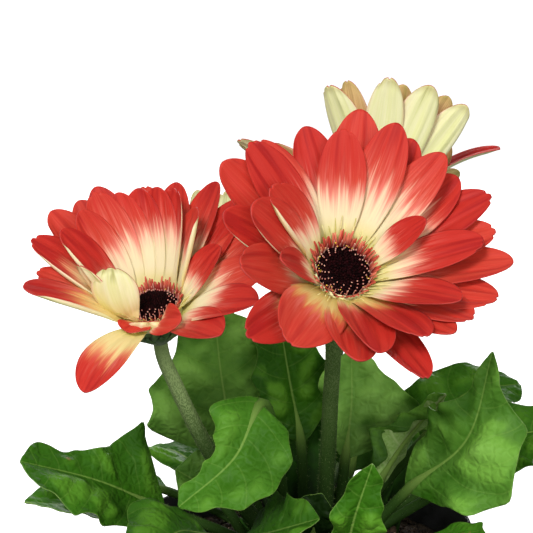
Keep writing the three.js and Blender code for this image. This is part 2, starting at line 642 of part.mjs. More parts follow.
// Shares of the blade's length at which it has a ring: at each point of both margins and halfway
// between them.
function ringShares(margins) {
  const corners = [...new Set(margins.flat().map(([v]) => v))].sort((a, b) => a - b);
  const apart = corners.filter((v, i) => i === 0 || v - corners[i - 1] > 0.05);
  const shares = [];
  for (let i = 0; i + 1 < apart.length; i++) {
    shares.push(apart[i]);
    if (apart[i + 1] - apart[i] > 0.14) shares.push((apart[i] + apart[i + 1]) / 2);
  }
  return shares.slice(1);
}

// One ring round the leaf at a share of its path, which is at v of the blade. Its halves fold up
// from the rib and their margins wave and run ahead of it.
function leafRing(leaf, index, path, share, v, { halves, thickness, ribDepth }) {
  const [foot, tip] = leaf.looks.map((look) => new THREE.Vector3(...look));
  const at = path.getPointAt(share);
  const along = path.getTangentAt(share);
  const right = new THREE.Vector3().crossVectors(along, foot.lerp(tip, v)).normalize();
  const up = new THREE.Vector3().crossVectors(right, along);
  const opening = Math.min(1, 5 * v);
  const fold = radians(BLADE.fold) * opening;
  const spot = (s, lift) => {
    const out = Math.abs(s) * (s < 0 ? halves[0] : halves[1]);
    const phase = index + (s < 0 ? 1 : 3);
    const wave = BLADE.wave * out * Math.abs(s) * Math.sin(BLADE.waves * Math.PI * v + phase);
    return at.clone()
      .addScaledVector(right, Math.sign(s) * out * Math.cos(fold))
      .addScaledVector(up, out * Math.sin(fold) + wave + lift)
      .addScaledVector(along, BLADE.sweep * out * opening * (1 - v));
  };
  const ring = [];
  for (let k = 0; k <= BLADE.columns; k++) {
    const s = (2 * k) / BLADE.columns - 1;
    ring.push(spot(s, Math.abs(s) === 1 ? 0 : thickness / 2));
  }
  for (let k = BLADE.columns - 1; k > 0; k--) {
    const s = (2 * k) / BLADE.columns - 1;
    ring.push(spot(s, -thickness / 2 - (s === 0 ? ribDepth : 0)));
  }
  return ring;
}

function leafGeometry(leaf, index) {
  const path = leafPath(leaf);
  const foot = footShare(path);
  const length = path.getLength() * (1 - foot);
  const margins = [marginPoints(leaf, 0), marginPoints(leaf, 1)];
  const stem = {
    halves: [BLADE.stemHalfWidth, BLADE.stemHalfWidth],
    thickness: 0.7 * BLADE.stemDepth,
    ribDepth: 0.3 * BLADE.stemDepth,
  };
  const rings = [];
  for (let i = 0; i <= BLADE.stemSteps; i++)
    rings.push(leafRing(leaf, index, path, (foot * i) / BLADE.stemSteps, 0, stem));
  for (const v of ringShares(margins)) {
    const halves = margins.map((points) => marginAt(points, v, length));
    const section = { halves, thickness: BLADE.thickness, ribDepth: BLADE.ribDepth * (1 - v) };
    rings.push(leafRing(leaf, index, path, foot + (1 - foot) * v, v, section));
  }
  return skin(rings, path.getPointAt(TIP), BLADE.columns);
}

// ---------------------------------------------------------------- the plant in its pot

const plant = new THREE.Group();
plant.add(meshOf("pot", potGeometry(), COLOURS.pot, 0.45));

const holes = [
  ...BLOOMS.map((b) => ({ x: b.root[0], y: b.root[1], radius: b.stalkRadius[0] + STEM_PLAY })),
  ...LEAVES.map((l) => ({ x: l.hole[0], y: l.hole[1], radius: BLADE.stemHalfWidth + STEM_PLAY })),
];
plant.add(meshOf("soil", soilGeometry(holes), COLOURS.soil, 0.95));

for (const bloom of BLOOMS) {
  const head = new THREE.Group();
  bloomMatrix(bloom).decompose(head.position, head.quaternion, head.scale);
  head.add(meshOf(bloom.name + "_petals", raysGeometry(bloom), COLOURS.petal, 0.55));
  head.add(meshOf(bloom.name + "_disc", discGeometry(), COLOURS.disc, 0.7));
  plant.add(head);
  plant.add(meshOf(bloom.name + "_stalk", stalkGeometry(bloom), COLOURS.stalk, 0.7));
}

LEAVES.forEach((leaf, index) => {
  const name = "leaf_" + String(index + 1).padStart(2, "0");
  plant.add(meshOf(name, leafGeometry(leaf, index), COLOURS.leaf, 0.45));
});

export default plant;
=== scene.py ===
# %% [markdown]
# # A potted gerbera
#
# The frame holds this plant as plain faceted solids: a nursery pot, its soil, four blooms on
# stalks and twenty-four leaves. This lesson gives each of them the surface of the real thing.
# Every new piece stands where its solid stands, because it follows the same few numbers: where
# a stem leaves the soil, where a midrib runs, and at which hour of the clock a petal grows.
#
# Lengths in the tables are millimetres. They become metres when a piece is put in its place.

# %% Load the frame
import math

import bpy
import numpy as np
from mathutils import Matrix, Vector, noise


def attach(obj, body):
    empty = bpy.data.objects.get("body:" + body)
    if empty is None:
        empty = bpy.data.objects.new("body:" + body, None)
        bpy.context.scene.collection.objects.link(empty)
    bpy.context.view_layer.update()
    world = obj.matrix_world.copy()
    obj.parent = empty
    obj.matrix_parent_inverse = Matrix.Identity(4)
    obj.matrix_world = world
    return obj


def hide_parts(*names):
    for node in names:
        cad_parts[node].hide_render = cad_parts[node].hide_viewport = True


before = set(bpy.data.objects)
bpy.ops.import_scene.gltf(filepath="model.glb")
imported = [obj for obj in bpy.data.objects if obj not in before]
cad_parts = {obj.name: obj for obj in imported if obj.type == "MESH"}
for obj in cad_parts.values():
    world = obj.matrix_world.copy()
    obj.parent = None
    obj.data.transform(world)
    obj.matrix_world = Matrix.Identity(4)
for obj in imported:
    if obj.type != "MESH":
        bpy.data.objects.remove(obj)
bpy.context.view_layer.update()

MM = 0.001
print("solids in the frame:", len(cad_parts))

# %% [markdown]
# ## Camera, floor and light
#
# A long lens from about 65 cm away looks ten degrees down on the plant, so the far bloom is not
# much smaller than the near one. The floor is one large white sheet that glows a little, like
# the table of a small studio. One soft lamp at the upper left shows the form of petals and
# leaves. A wide, weaker one, low in front at the right, reaches the stalks and the leaves below
# the blooms, and one behind lights the far edges.

# %% The camera
VIEW_TARGET = Vector((-12.8, 0, 191)) * MM
VIEW_DISTANCE = 650 * MM
VIEW_DOWN = math.radians(10)
VIEW_LENS = 131.7  # millimetres on a sensor 36 wide


def add_camera():
    """The camera, looking along +Y and a little down."""
    back = Vector((0, -math.cos(VIEW_DOWN), math.sin(VIEW_DOWN)))
    place = VIEW_TARGET + back * VIEW_DISTANCE
    bpy.ops.object.camera_add(location=place, rotation=(math.pi / 2 - VIEW_DOWN, 0, 0))
    camera = bpy.context.object
    camera.data.lens = VIEW_LENS
    camera.data.sensor_width = 36
    camera.data.clip_start = 0.01
    bpy.context.scene.camera = camera
    return camera


camera = add_camera()
print("camera at", [round(x, 3) for x in camera.location])

# %% Floor, surround and lamps
LAMPS = [
    # name, place in metres, size in metres, watts
    ("key", (-0.42, -1.35, 1.08), 0.5, 21),
    ("fill", (0.5, -1.55, 0.3), 1.0, 10),
    ("back", (0.35, 1.5, 0.8), 1.0, 13),
]


def add_floor():
    bpy.ops.object.select_all(action="DESELECT")
    bpy.ops.mesh.primitive_plane_add(size=60, location=(0, 0, 0))
    floor = bpy.context.object
    floor.name = "floor"
    return floor


def add_lamp(name, place, size, watts):
    bpy.ops.object.light_add(type="AREA", location=place)
    lamp = bpy.context.object
    lamp.name = name
    lamp.data.shape = "DISK"
    lamp.data.size = size
    lamp.data.energy = watts
    aim = VIEW_TARGET - lamp.location
    lamp.rotation_euler = aim.to_track_quat("-Z", "Y").to_euler()


floor = add_floor()
for lamp in LAMPS:
    add_lamp(*lamp)

floor.visible_diffuse = False  # its glow is for the eye: it doesn't light the plant from below
floor.visible_glossy = False  # and it isn't mirrored in the black pot
bpy.context.scene.view_settings.view_transform = "Standard"
print("lamps:", len(LAMPS))

# %% [markdown]
# ## A short way to write materials
#
# A material is a small program: numbers flow through nodes into one shader. `Wire` stands for
# one of those numbers, so that sums and products can be written as plain Python, and each adds
# its Math node. `Finish` is a material under way: `add` is the one way to any other node.

# %% Wires and finishes


class Wire:
    """An output socket. Arithmetic on it adds Math nodes to its material."""

    def __init__(self, finish, socket):
        self.finish = finish
        self.socket = socket

    def math(self, operation, *others):
        return self.finish.add("Math", {"operation": operation}, dict(enumerate((self, *others))))

    def __add__(self, other):
        return self.math("ADD", other)

    def __mul__(self, other):
        return self.math("MULTIPLY", other)

    def __sub__(self, other):
        return self.math("SUBTRACT", other)

    def __truediv__(self, other):
        return self.math("DIVIDE", other)

    def __abs__(self):
        return self.math("ABSOLUTE")

    def __rsub__(self, other):
        return self.finish.add("Math", {"operation": "SUBTRACT"}, {0: other, 1: self})

    __radd__ = __add__
    __rmul__ = __mul__

    def between(self, low, high):
        """A soft step from 0 at low to 1 at high, which also runs down from low to a smaller high."""
        settings = {"interpolation_type": "SMOOTHSTEP"}
        inputs = {"Value": self, "From Min": low, "From Max": high}
        return self.finish.add("MapRange", settings, inputs)


class Finish:
    """A material with one Principled shader. Constants are set on the shader's own sockets."""

    def __init__(self, name, constants, owners=bpy.data.materials, shader="Principled BSDF"):
        self.material = owners.new(name)
        self.material.use_nodes = True
        self.tree = self.material.node_tree
        self.shader = self.tree.nodes[shader]
        for socket, value in constants.items():
            self.shader.inputs[socket].default_value = value

    def add(self, kind, settings, inputs, output=0):
        """One node of any kind: its settings first, then its sockets' values or links."""
        node = self.tree.nodes.new("ShaderNode" + kind)
        for name, value in settings.items():
            setattr(node, name, value)
        for name, value in inputs.items():
            self.feed(node.inputs[name], value)
        return Wire(self, node.outputs[output])

    def feed(self, socket, value):
        if isinstance(value, Wire):
            self.tree.links.new(value.socket, socket)
        elif socket.type == "RGBA":
            socket.default_value = (*value, 1)
        else:
            socket.default_value = value

    def attribute(self, name):
        return self.add("Attribute", {"attribute_name": name}, {}, "Fac")

    def coordinates(self):
        """The piece's Object coordinates, in metres in the plant's frame."""
        return self.add("TexCoord", {}, {}, "Object")

    def uv(self):
        uv = self.add("UVMap", {}, {})
        return [self.part(uv, axis) for axis in ("X", "Y")]

    def part(self, vector, axis):
        """One of a vector's three numbers."""
        return self.add("SeparateXYZ", {}, {"Vector": vector}, axis)

    def vector(self, x, y, z):
        return self.add("CombineXYZ", {}, {"X": x, "Y": y, "Z": z})

    def scaled(self, vector, factors):
        """A vector with each of its numbers multiplied by a factor of its own."""
        return self.add("VectorMath", {"operation": "MULTIPLY"}, {0: vector, 1: factors})

    def noise(self, vector, scale, detail=2.0):
        return self.add("TexNoise", {}, {"Vector": vector, "Scale": scale, "Detail": detail})

    def cells(self, vector, scale):
        """Distance to the nearest border between Voronoi cells."""
        settings = {"feature": "DISTANCE_TO_EDGE"}
        return self.add("TexVoronoi", settings, {"Vector": vector, "Scale": scale}, "Distance")

    def mix(self, share, first, second):
        """A colour between two others. The Mix node's colour sockets are numbers 6 and 7."""
        return self.add("Mix", {"data_type": "RGBA"}, {0: share, 6: first, 7: second}, 2)

    def bump(self, height, depth):
        """A relief of this depth, in metres, from a height between 0 and 1."""
        normal = self.add("Bump", {}, {"Height": height, "Distance": depth}, "Normal")
        self.feed(self.shader.inputs["Normal"], normal)

    def done(self, colour=None, roughness=None):
        if colour is not None:
            self.feed(self.shader.inputs["Base Color"], colour)
        if roughness is not None:
            self.feed(self.shader.inputs["Roughness"], roughness)
        return self.material


# %% [markdown]
# ## The surround
#
# Light also comes from all round, as from white walls: full from above and less from below, so
# that the undersides of petals and leaves lie in soft shade.

# %% Light from all round
SURROUND_ABOVE = 0.48
SURROUND_BELOW = 0.20


def add_surround():
    surround = Finish("studio", {"Color": (1, 1, 1, 1)}, bpy.data.worlds, "Background")
    height = surround.part(surround.add("TexCoord", {}, {}, "Generated"), "Z")
    strength = height.between(-0.35, 0.45) * (SURROUND_ABOVE - SURROUND_BELOW) + SURROUND_BELOW
    surround.feed(surround.shader.inputs["Strength"], strength)
    bpy.context.scene.world = surround.material


add_surround()
print("surround from", SURROUND_BELOW, "to", SURROUND_ABOVE)

# %% [markdown]
# ## The finishes of the petals
#
# A ray of this gerbera is yellow green where it leaves the disc, then cream, then red. The red
# does not start at a line: it runs down the petal in fine streaks, because each row of cells is
# coloured by itself. So the border is moved by noises that are long and thin, and the colours
# are laid over each other: cream, a blush, the reds, and a broken veil of pink over the lower
# part of the red. Fine ridges along the petal are a relief made by a sine.
#
# Four numbers ride on every petal's vertices: `own`, which no other petal has, `start`, the
# share of its length where its red starts, `warm`, how golden it is below its red, and `gold`,
# how golden its back is. Both golden tints are partly the petal's own colour and partly painted
# shade, for the lower rays and the inner backs lie in shade. The mesh's UV map gives the place
# on the petal: u across, v from root to tip.

# %% Petal colours
CREAM = (0.74, 0.67, 0.31)
PALE_CREAM = (0.80, 0.71, 0.44)
THROAT = (0.58, 0.58, 0.15)
GOLDEN = (0.72, 0.54, 0.15)
BLUSH = (0.84, 0.36, 0.27)
PINK = (0.80, 0.25, 0.20)
ORANGE = (0.70, 0.24, 0.06)
RED = (0.52, 0.029, 0.019)
CORAL = (0.64, 0.100, 0.056)
DEEP_RED = (0.34, 0.010, 0.010)
BACK_GREEN = (0.80, 0.80, 0.34)
BACK_CREAM = (0.91, 0.87, 0.55)
BACK_GOLD = (0.52, 0.36, 0.13)
BACK_PINK = (0.82, 0.56, 0.42)
BACK_STRAW = (0.66, 0.50, 0.22)
ROOT_GOLD = (0.72, 0.44, 0.10)
TIP_OLIVE = (0.38, 0.30, 0.08)
SPOT_OLIVE = (0.30, 0.28, 0.07)
RIM_RED = (0.47, 0.045, 0.035)

# %% Petal finishes


def lengthways(finish, u, v, own, across, along):
    """Coordinates that stretch a pattern along a petal, other on every petal."""
    return finish.vector(u * across + own * 17, v * along, own * 5)


def ridges_along(u, count, wander):
    """Fine ridges along a petal, from 0 in their grooves to 1."""
    return (u * count + wander).math("SINE") * 0.5 + 0.5


def petal_face():
    finish = Finish("petal_face", {"Specular IOR Level": 0.14})
    u, v = finish.uv()
    own = finish.attribute("own")
    start = finish.attribute("start")
    warm = finish.attribute("warm")
    broad = finish.noise(lengthways(finish, u, v, own, 5, 1.0), 1, 2)
    fine = finish.noise(lengthways(finish, u, v, own, 34, 3.2), 1, 5)
    long = finish.noise(lengthways(finish, u, v, own + 3, 13, 1.2), 1, 3)
    beyond = v - start
    redness = beyond / 0.26 + (broad - 0.5) * 1.3 + (long - 0.5) * 1.2 + (fine - 0.5) * 1.1
    throat = finish.mix(v.between(0.0, 0.2), THROAT, CREAM)
    cream = finish.mix(v.between(0.14, 0.30), throat, PALE_CREAM)
    # The golden tint below the red, set by warm, is partly the ray's own colour and partly painted shade
    # on the lower rays.
    light = finish.mix(warm * (0.55 + fine * 0.5), cream, GOLDEN)
    middle = finish.mix(warm, BLUSH, ORANGE)
    blushed = finish.mix(redness.between(-0.4, 0.6) * 0.8, light, middle)
    faded = (1 - beyond.between(0.0, 0.45)) * 0.65 + (fine - 0.5) * 0.9 - own * 0.25
    paled = finish.mix(faded, RED, CORAL)
    deepened = broad.between(0.54, 0.36) * beyond.between(0.1, 0.5) * 0.7 + own * 0.25
    red = finish.mix(deepened, paled, DEEP_RED)
    veil = (long * 0.5 + fine * 0.5).between(0.47, 0.63) * (1 - beyond.between(0.0, 0.45)) * 0.6
    veiled = finish.mix(veil, red, PINK)
    colour = finish.mix(redness.between(0.1, 0.9), blushed, veiled)
    ridges = ridges_along(u, 46, broad * 10)
    finish.bump(ridges * 0.2 + fine * 0.5 + long * 0.3, 0.00014)
    return finish.done(colour, 0.46 + fine * 0.16)


def petal_back():
    finish = Finish("petal_back", {"Specular IOR Level": 0.14})
    u, v = finish.uv()
    own = finish.attribute("own")
    gold = finish.attribute("gold")
    broad = finish.noise(lengthways(finish, u, v, own, 5, 1.0), 1, 3)
    fine = finish.noise(lengthways(finish, u, v, own, 30, 2.2), 1, 3)
    tinted = broad.between(0.35, 0.7) * 0.6 + fine.between(0.3, 0.7) * 0.4
    green = finish.mix(tinted, BACK_CREAM, BACK_GREEN)
    golden = finish.mix(fine.between(0.35, 0.65), BACK_GOLD, BACK_STRAW)
    # The golden backs, set by gold, are partly the petals' own colour and partly painted shade, most at
    # their roots and on inner petals under the outer row.
    rooted = finish.mix((1 - v.between(0.05, 0.6)) * gold * 2.5, green, ROOT_GOLD)
    body = finish.mix(gold.between(0.3, 1.0), rooted, golden)
    rim = (abs(u - 0.5) * 2).between(0.8, 1.0) * v.between(0.25, 0.6)
    rimmed = finish.mix(rim * (0.3 + broad * 0.5), body, BACK_PINK)
    spots = broad.between(0.56, 0.66) * v.between(0.72, 0.9)
    tipped = finish.mix(v.between(0.88, 1.0) * (broad * 0.9 + 0.1), rimmed, TIP_OLIVE)
    spotted = finish.mix(spots * 0.6, tipped, SPOT_OLIVE)
    ridges = ridges_along(u, 26, broad * 9)
    finish.bump(ridges * 0.7 + fine * 0.3, 0.00012)
    return finish.done(spotted, 0.5 + fine * 0.15)


def petal_rim():
    """The cut edge of a petal: cream near the root, a lighter red beyond."""
    finish = Finish("petal_rim", {"Roughness": 0.5, "Specular IOR Level": 0.3})
    _, v = finish.uv()
    start = finish.attribute("start")
    redness = (v - start).between(0.0, 0.25)
    return finish.done(finish.mix(redness, CREAM, RIM_RED))


PETAL_FINISHES = [petal_face(), petal_back(), petal_rim()]
print("petal finishes:", [finish.name for finish in PETAL_FINISHES])

# %% [markdown]
# ## The finishes of the leaves and stalks
#
# A gerbera leaf is glossy and puffed up between its veins above, and dull, pale and downy
# below. Numbers on its vertices tell where a point is: `across`, the millimetres from the
# midrib, `inside`, the millimetres from the margin, `vein`, which is a whole number on each
# side vein, and `raised`, its height in the relief between the veins, which is in the mesh.
# `own`, `pale` and `shade` are the same all over a leaf, and `scar` marks dry spots. `pale` is
# partly the leaf's own paler green and partly painted light, and `shade` is painted shade on
# leaves in the shadow of others. The material adds the pale lines, the net of the smallest veins
# and the unevenness of the green, paints light on the raised cushions and shade in the sunken
# veins, and paints shade low in the heart of the rosette.
#
# On a stem, `pale` says how thick its down is and how much painted light brightens it, and
# `blade` where it runs on as a blade's rib.

# %% Leaf and stalk colours
LEAF_GREEN = (0.042, 0.160, 0.005)
LEAF_DARK = (0.020, 0.086, 0.003)
# Painted highlight: the green of the raised cushions, where light falls.
CREST_HIGHLIGHT = (0.120, 0.31, 0.022)
LEAF_PALE = (0.24, 0.48, 0.085)
VEIN_PALE = (0.27, 0.43, 0.085)
LEAF_BACK = (0.18, 0.32, 0.070)
LEAF_BACK_PALE = (0.34, 0.46, 0.18)
STALK_GREEN = (0.024, 0.068, 0.006)
STALK_PALE = (0.27, 0.36, 0.14)
STEM_GREEN = (0.026, 0.075, 0.006)
STEM_PALE = (0.13, 0.25, 0.045)
BRACT_GREEN = (0.030, 0.075, 0.014)
BRACT_PALE = (0.13, 0.20, 0.06)
DOWN_GREEN = (0.09, 0.15, 0.03)
DOWN_PALE = (0.24, 0.32, 0.11)
RIM_GREEN = (0.085, 0.19, 0.020)
SCAR_BROWN = (0.22, 0.11, 0.03)
# Painted shade: the near-black green for the shaded heart of the rosette and the young leaves in it.
HEART_SHADE_GREEN = (0.006, 0.020, 0.002)

# %% Leaf finishes


def side_vein(finish, width):
    """1 on a side vein and 0 away from it, by the number that counts the veins."""
    count = finish.attribute("vein")
    aside = abs((count + 0.5).math("FRACT") - 0.5)
    return 1 - aside.between(0.0, width)


def heart_shade(finish, place):
    """1 low in the middle of the rosette, where shade is painted, and 0 away from it."""
    flat = finish.scaled(place, (1, 1, 0))
    radius = finish.add("VectorMath", {"operation": "LENGTH"}, {0: flat}, "Value")
    return (1 - radius.between(0.025, 0.06)) * (1 - finish.part(place, "Z").between(0.112, 0.155))


def leaf_face():
    finish = Finish("leaf_face", {"Specular IOR Level": 0.11})
    _, v = finish.uv()
    place = finish.coordinates()
    own = finish.attribute("own")
    across = finish.attribute("across")
    inside = finish.attribute("inside")
    patches = finish.noise(place, 55, 3)
    mottle = finish.noise(place, 420, 4)
    net = finish.cells(place, 330)
    raised = finish.attribute("raised") + (mottle - 0.5) * 0.6
    body = finish.mix(patches.between(0.3, 0.7), LEAF_DARK, LEAF_GREEN)
    # Painted light and shade: the raised cushions are painted lighter as if lit, the sunken veins between
    # them darker as if in shade.
    lit = finish.mix(raised.between(0.1, 1.0) * 0.85, body, CREST_HIGHLIGHT)
    valley_shaded = finish.mix(raised.between(0.15, -0.5) * 0.75, lit, LEAF_DARK)
    aged = finish.mix(own * 0.3 + 0.3, valley_shaded, LEAF_GREEN)
    # The pale share, partly painted light, is stronger on the raised cushions.
    pale = finish.attribute("pale") * (raised * 0.6 + 0.6)
    toned = finish.mix(pale, aged, LEAF_PALE)
    veined = finish.mix(side_vein(finish, 0.045) * 0.14, toned, VEIN_PALE)
    netted = finish.mix((1 - net.between(0.0, 0.08)) * 0.025, veined, VEIN_PALE)
    rib = (1 - across.between(0.1, 0.75 - v * 0.5)) * (0.75 - v * 0.45)
    ribbed = finish.mix(rib, netted, VEIN_PALE)
    edged = finish.mix((1 - inside.between(0.1, 0.4)) * 0.2, ribbed, VEIN_PALE)
    # Painted shade: low in the heart of the rosette, and all over the leaves that lie in the shadow of
    # others.
    shade = heart_shade(finish, place) * 0.85 + finish.attribute("shade")
    shaded = finish.mix(shade, edged, HEART_SHADE_GREEN)
    colour = finish.mix(finish.attribute("scar") * (0.6 + mottle * 0.4), shaded, SCAR_BROWN)
    height = net.between(0.0, 0.35) * 0.6 + mottle * 0.4
    finish.bump(height, 0.0004)
    return finish.done(colour, 0.42 + mottle * 0.26)


def leaf_back():
    finish = Finish("leaf_back", {"Specular IOR Level": 0.15})
    place = finish.coordinates()
    across = finish.attribute("across")
    down = finish.noise(place, 1500, 3)
    net = finish.cells(place, 330)
    body = finish.mix(down.between(0.3, 0.7) * 0.5, LEAF_BACK, LEAF_BACK_PALE)
    veined = finish.mix(side_vein(finish, 0.08) * 0.7, body, LEAF_BACK_PALE)
    colour = finish.mix((1 - across.between(0.5, 1.4)) * 0.8, veined, STALK_PALE)
    finish.bump((1 - net.between(0.0, 0.25)) * 0.3 + down * 0.3, 0.0002)
    return finish.done(colour, 0.7 + down * 0.15)


def leaf_rim():
    """The margin of a leaf is a thin pale line."""
    finish = Finish("leaf_rim", {"Roughness": 0.5})
    tone = finish.noise(finish.coordinates(), 400, 2)
    return finish.done(finish.mix(tone.between(0.3, 0.8) * 0.6, RIM_GREEN, VEIN_PALE))


LEAF_FINISHES = [leaf_face(), leaf_back(), leaf_rim()]
print("leaf finishes:", [finish.name for finish in LEAF_FINISHES])

# %% Finishes of stems, bracts and down


def stem_skin(name, green, pale):
    """Stalks and leaf stems: green, finely speckled, with a bloom of down, paler towards the top partly
    for the down and partly as painted light, with painted shade lower down.
    """
    finish = Finish(name, {"Specular IOR Level": 0.12})
    place = finish.coordinates()
    specks = finish.noise(finish.scaled(place, (1, 1, 0.5)), 2800, 1)
    broad = finish.noise(place, 60, 2)
    # Paler towards the top and by the stalk's number: partly the down itself, partly painted light higher
    # up and painted shade lower down.
    down_and_light = finish.part(place, "Z").between(0.12, 0.19) * finish.attribute("pale") + 0.1
    down_and_light_share = (specks.between(0.42, 0.62) * 0.6 + 0.4) * down_and_light
    body = finish.mix(down_and_light_share, green, pale)
    mottled = finish.mix(broad.between(0.35, 0.7) * 0.3, body, green)
    # Painted shade low in the heart of the rosette.
    shaded = finish.mix(heart_shade(finish, place) * 0.7, mottled, HEART_SHADE_GREEN)
    colour = finish.mix(finish.attribute("blade") * 0.45, shaded, VEIN_PALE)
    finish.bump(specks, 0.00015)
    return finish.done(colour, 0.6 + specks * 0.2)


def down_skin():
    """The down itself: short pale hairs."""
    finish = Finish("down", {"Roughness": 0.6})
    tone = finish.noise(finish.coordinates(), 300, 1)
    return finish.done(finish.mix(tone, DOWN_GREEN, DOWN_PALE))


def bract_skin():
    finish = Finish("bract_skin", {"Sheen Weight": 0.1, "Sheen Roughness": 0.5})
    place = finish.coordinates()
    patches = finish.noise(place, 300, 3)
    colour = finish.mix(patches.between(0.35, 0.7), BRACT_GREEN, BRACT_PALE)
    finish.bump(patches, 0.0002)
    return finish.done(colour, 0.55 + patches * 0.2)


STALK_SKIN = stem_skin("stalk_skin", STALK_GREEN, STALK_PALE)
STEM_SKIN = stem_skin("leaf_stem_skin", STEM_GREEN, STEM_PALE)
DOWN_SKIN = down_skin()
BRACT_SKIN = bract_skin()
print("stems, down and bracts:", [skin.name for skin in (STALK_SKIN, STEM_SKIN, DOWN_SKIN, BRACT_SKIN)])

# %% [markdown]
# ## The finishes of the disc, the soil and the pot
#
# The disc is nearly black with a maroon tint, the tips of its open florets are pale pink. Soil
# is peat: dark brown fibres and crumbs of several browns. The pot is thin black moulded
# plastic with a satin gloss, a little dusty, with fine scuffs that break up its highlights.

# %% Disc, soil and pot colours
DISC_BLACK = (0.004, 0.001, 0.0012)
DISC_MAROON = (0.020, 0.003, 0.004)
FLORET_ROSE = (0.54, 0.18, 0.14)
FLORET_PALE = (0.74, 0.42, 0.32)
STRAP_FOOT = (0.18, 0.011, 0.013)
STRAP_RED = (0.44, 0.03, 0.02)
STRAP_PINK = (0.74, 0.22, 0.13)
THREAD_GREEN = (0.55, 0.50, 0.10)
THREAD_CREAM = (0.85, 0.78, 0.36)
POLLEN_ORANGE = (0.75, 0.42, 0.02)
POLLEN_YELLOW = (0.85, 0.62, 0.08)
PEAT_BLACK = (0.010, 0.006, 0.004)
PEAT_BROWN = (0.045, 0.026, 0.014)
PEAT_FIBRE = (0.16, 0.10, 0.055)
CRUMB_BLACK = (0.008, 0.005, 0.003)
CRUMB_BROWN = (0.060, 0.034, 0.018)
CRUMB_FIBRE = (0.12, 0.075, 0.04)
CHIP_WOOD = (0.24, 0.14, 0.07)
CHIP_PALE = (0.52, 0.44, 0.33)
CHIP_STAIN = (0.12, 0.07, 0.04)
POT_BLACK = (0.009, 0.009, 0.010)
POT_DUST = (0.045, 0.040, 0.034)
FLOOR_WHITE = (0.88, 0.88, 0.88, 1)
FLOOR_GLOW = 0.7

# %% Finishes of the disc and its florets


def disc_skin():
    finish = Finish("disc_skin", {"Specular IOR Level": 0.04})
    tone = finish.noise(finish.coordinates(), 900, 2)
    colour = finish.mix(tone.between(0.4, 0.7), DISC_BLACK, DISC_MAROON)
    return finish.done(colour, 0.5 + tone * 0.2)


def tip_skin():
    finish = Finish("tip_skin", {"Roughness": 0.5})
    tone = finish.noise(finish.coordinates(), 700, 1)
    return finish.done(finish.mix(tone.between(0.35, 0.65), FLORET_ROSE, FLORET_PALE))


def strap_skin():
    """The short florets round the disc: dark red at the foot, pinkish red towards the tip."""
    finish = Finish("strap_skin", {"Roughness": 0.5, "Specular IOR Level": 0.15})
    _, v = finish.uv()
    own = finish.attribute("own")
    red = finish.mix(own * 0.5 + 0.5, STRAP_RED, STRAP_PINK)
    return finish.done(finish.mix(v.between(0.1, 0.8), STRAP_FOOT, red))


def thread_skin():
    finish = Finish("thread_skin", {"Roughness": 0.5})
    tone = finish.noise(finish.coordinates(), 250, 1)
    return finish.done(finish.mix(tone.between(0.4, 0.6), THREAD_GREEN, THREAD_CREAM))


def pollen_skin():
    finish = Finish("pollen_skin", {"Roughness": 0.7})
    tone = finish.noise(finish.coordinates(), 2500, 1)
    finish.bump(tone, 0.0001)
    return finish.done(finish.mix(tone, POLLEN_ORANGE, POLLEN_YELLOW))


DISC_SKIN = disc_skin()
TIP_SKIN = tip_skin()
STRAP_SKIN = strap_skin()
THREAD_SKIN = thread_skin()
POLLEN_SKIN = pollen_skin()
print("materials so far:", len(bpy.data.materials))

# %% Finishes of soil, pot and floor


def soil_skin():
    finish = Finish("soil_skin", {"IOR": 1.4})
    place = finish.coordinates()
    coarse = finish.noise(place, 260, 4)
    fine = finish.noise(place, 1500, 4)
    brown = finish.mix(coarse.between(0.35, 0.65), PEAT_BLACK, PEAT_BROWN)
    colour = finish.mix(fine.between(0.62, 0.75) * 0.5, brown, PEAT_FIBRE)
    finish.bump(coarse * 0.4 + fine * 0.6, 0.0012)
    return finish.done(colour, 0.75 + fine * 0.2)


def crumb_skin():
    finish = Finish("crumb_skin", {"IOR": 1.4})
    place = finish.coordinates()
    own = finish.attribute("own")
    fine = finish.noise(place, 1800, 3)
    brown = finish.mix(own * 0.5 + 0.5, CRUMB_BLACK, CRUMB_BROWN)
    colour = finish.mix(fine.between(0.5, 0.8) * 0.4, brown, CRUMB_FIBRE)
    finish.bump(fine, 0.0005)
    return finish.done(colour, 0.7 + fine * 0.25)


def chip_skin():
    """Light bits in the soil: wood splinters and grains of perlite."""
    finish = Finish("chip_skin", {"Roughness": 0.75})
    own = finish.attribute("own")
    fine = finish.noise(finish.coordinates(), 900, 3)
    colour = finish.mix(own * 0.5 + 0.5, CHIP_WOOD, CHIP_PALE)
    finish.bump(fine, 0.0004)
    return finish.done(finish.mix(fine.between(0.4, 0.7) * 0.5, colour, CHIP_STAIN))


def pot_skin():
    finish = Finish("pot_skin", {"Specular IOR Level": 0.4})
    place = finish.coordinates()
    scuffs = finish.noise(finish.scaled(place, (1, 1, 6)), 90, 4)
    grain = finish.noise(place, 2200, 2)
    dust = finish.noise(place, 35, 4)
    colour = finish.mix(dust.between(0.5, 0.8) * 0.35, POT_BLACK, POT_DUST)
    finish.bump(grain * 0.4 + scuffs * 0.6, 0.00012)
    return finish.done(colour, 0.30 + scuffs * 0.18 + dust * 0.12)


def floor_skin():
    glow = {"Emission Color": (1, 1, 1, 1), "Emission Strength": FLOOR_GLOW}
    finish = Finish("floor_skin", {"Base Color": FLOOR_WHITE, "Roughness": 0.8, **glow})
    return finish.done()


floor.data.materials.append(floor_skin())
print("materials so far:", len(bpy.data.materials))

# %% [markdown]
# ## Handling pieces
#
# An operator works on all that is selected, so `only` first selects just what is meant. A
# blank is a piece that is modelled once with operators and then copied: each copy gets a mesh
# of its own and its vertices are laid along another line. `finished` hands a piece to the
# frame: it rides on the plant's one body and stands for its solid.

# %% Helpers for pieces


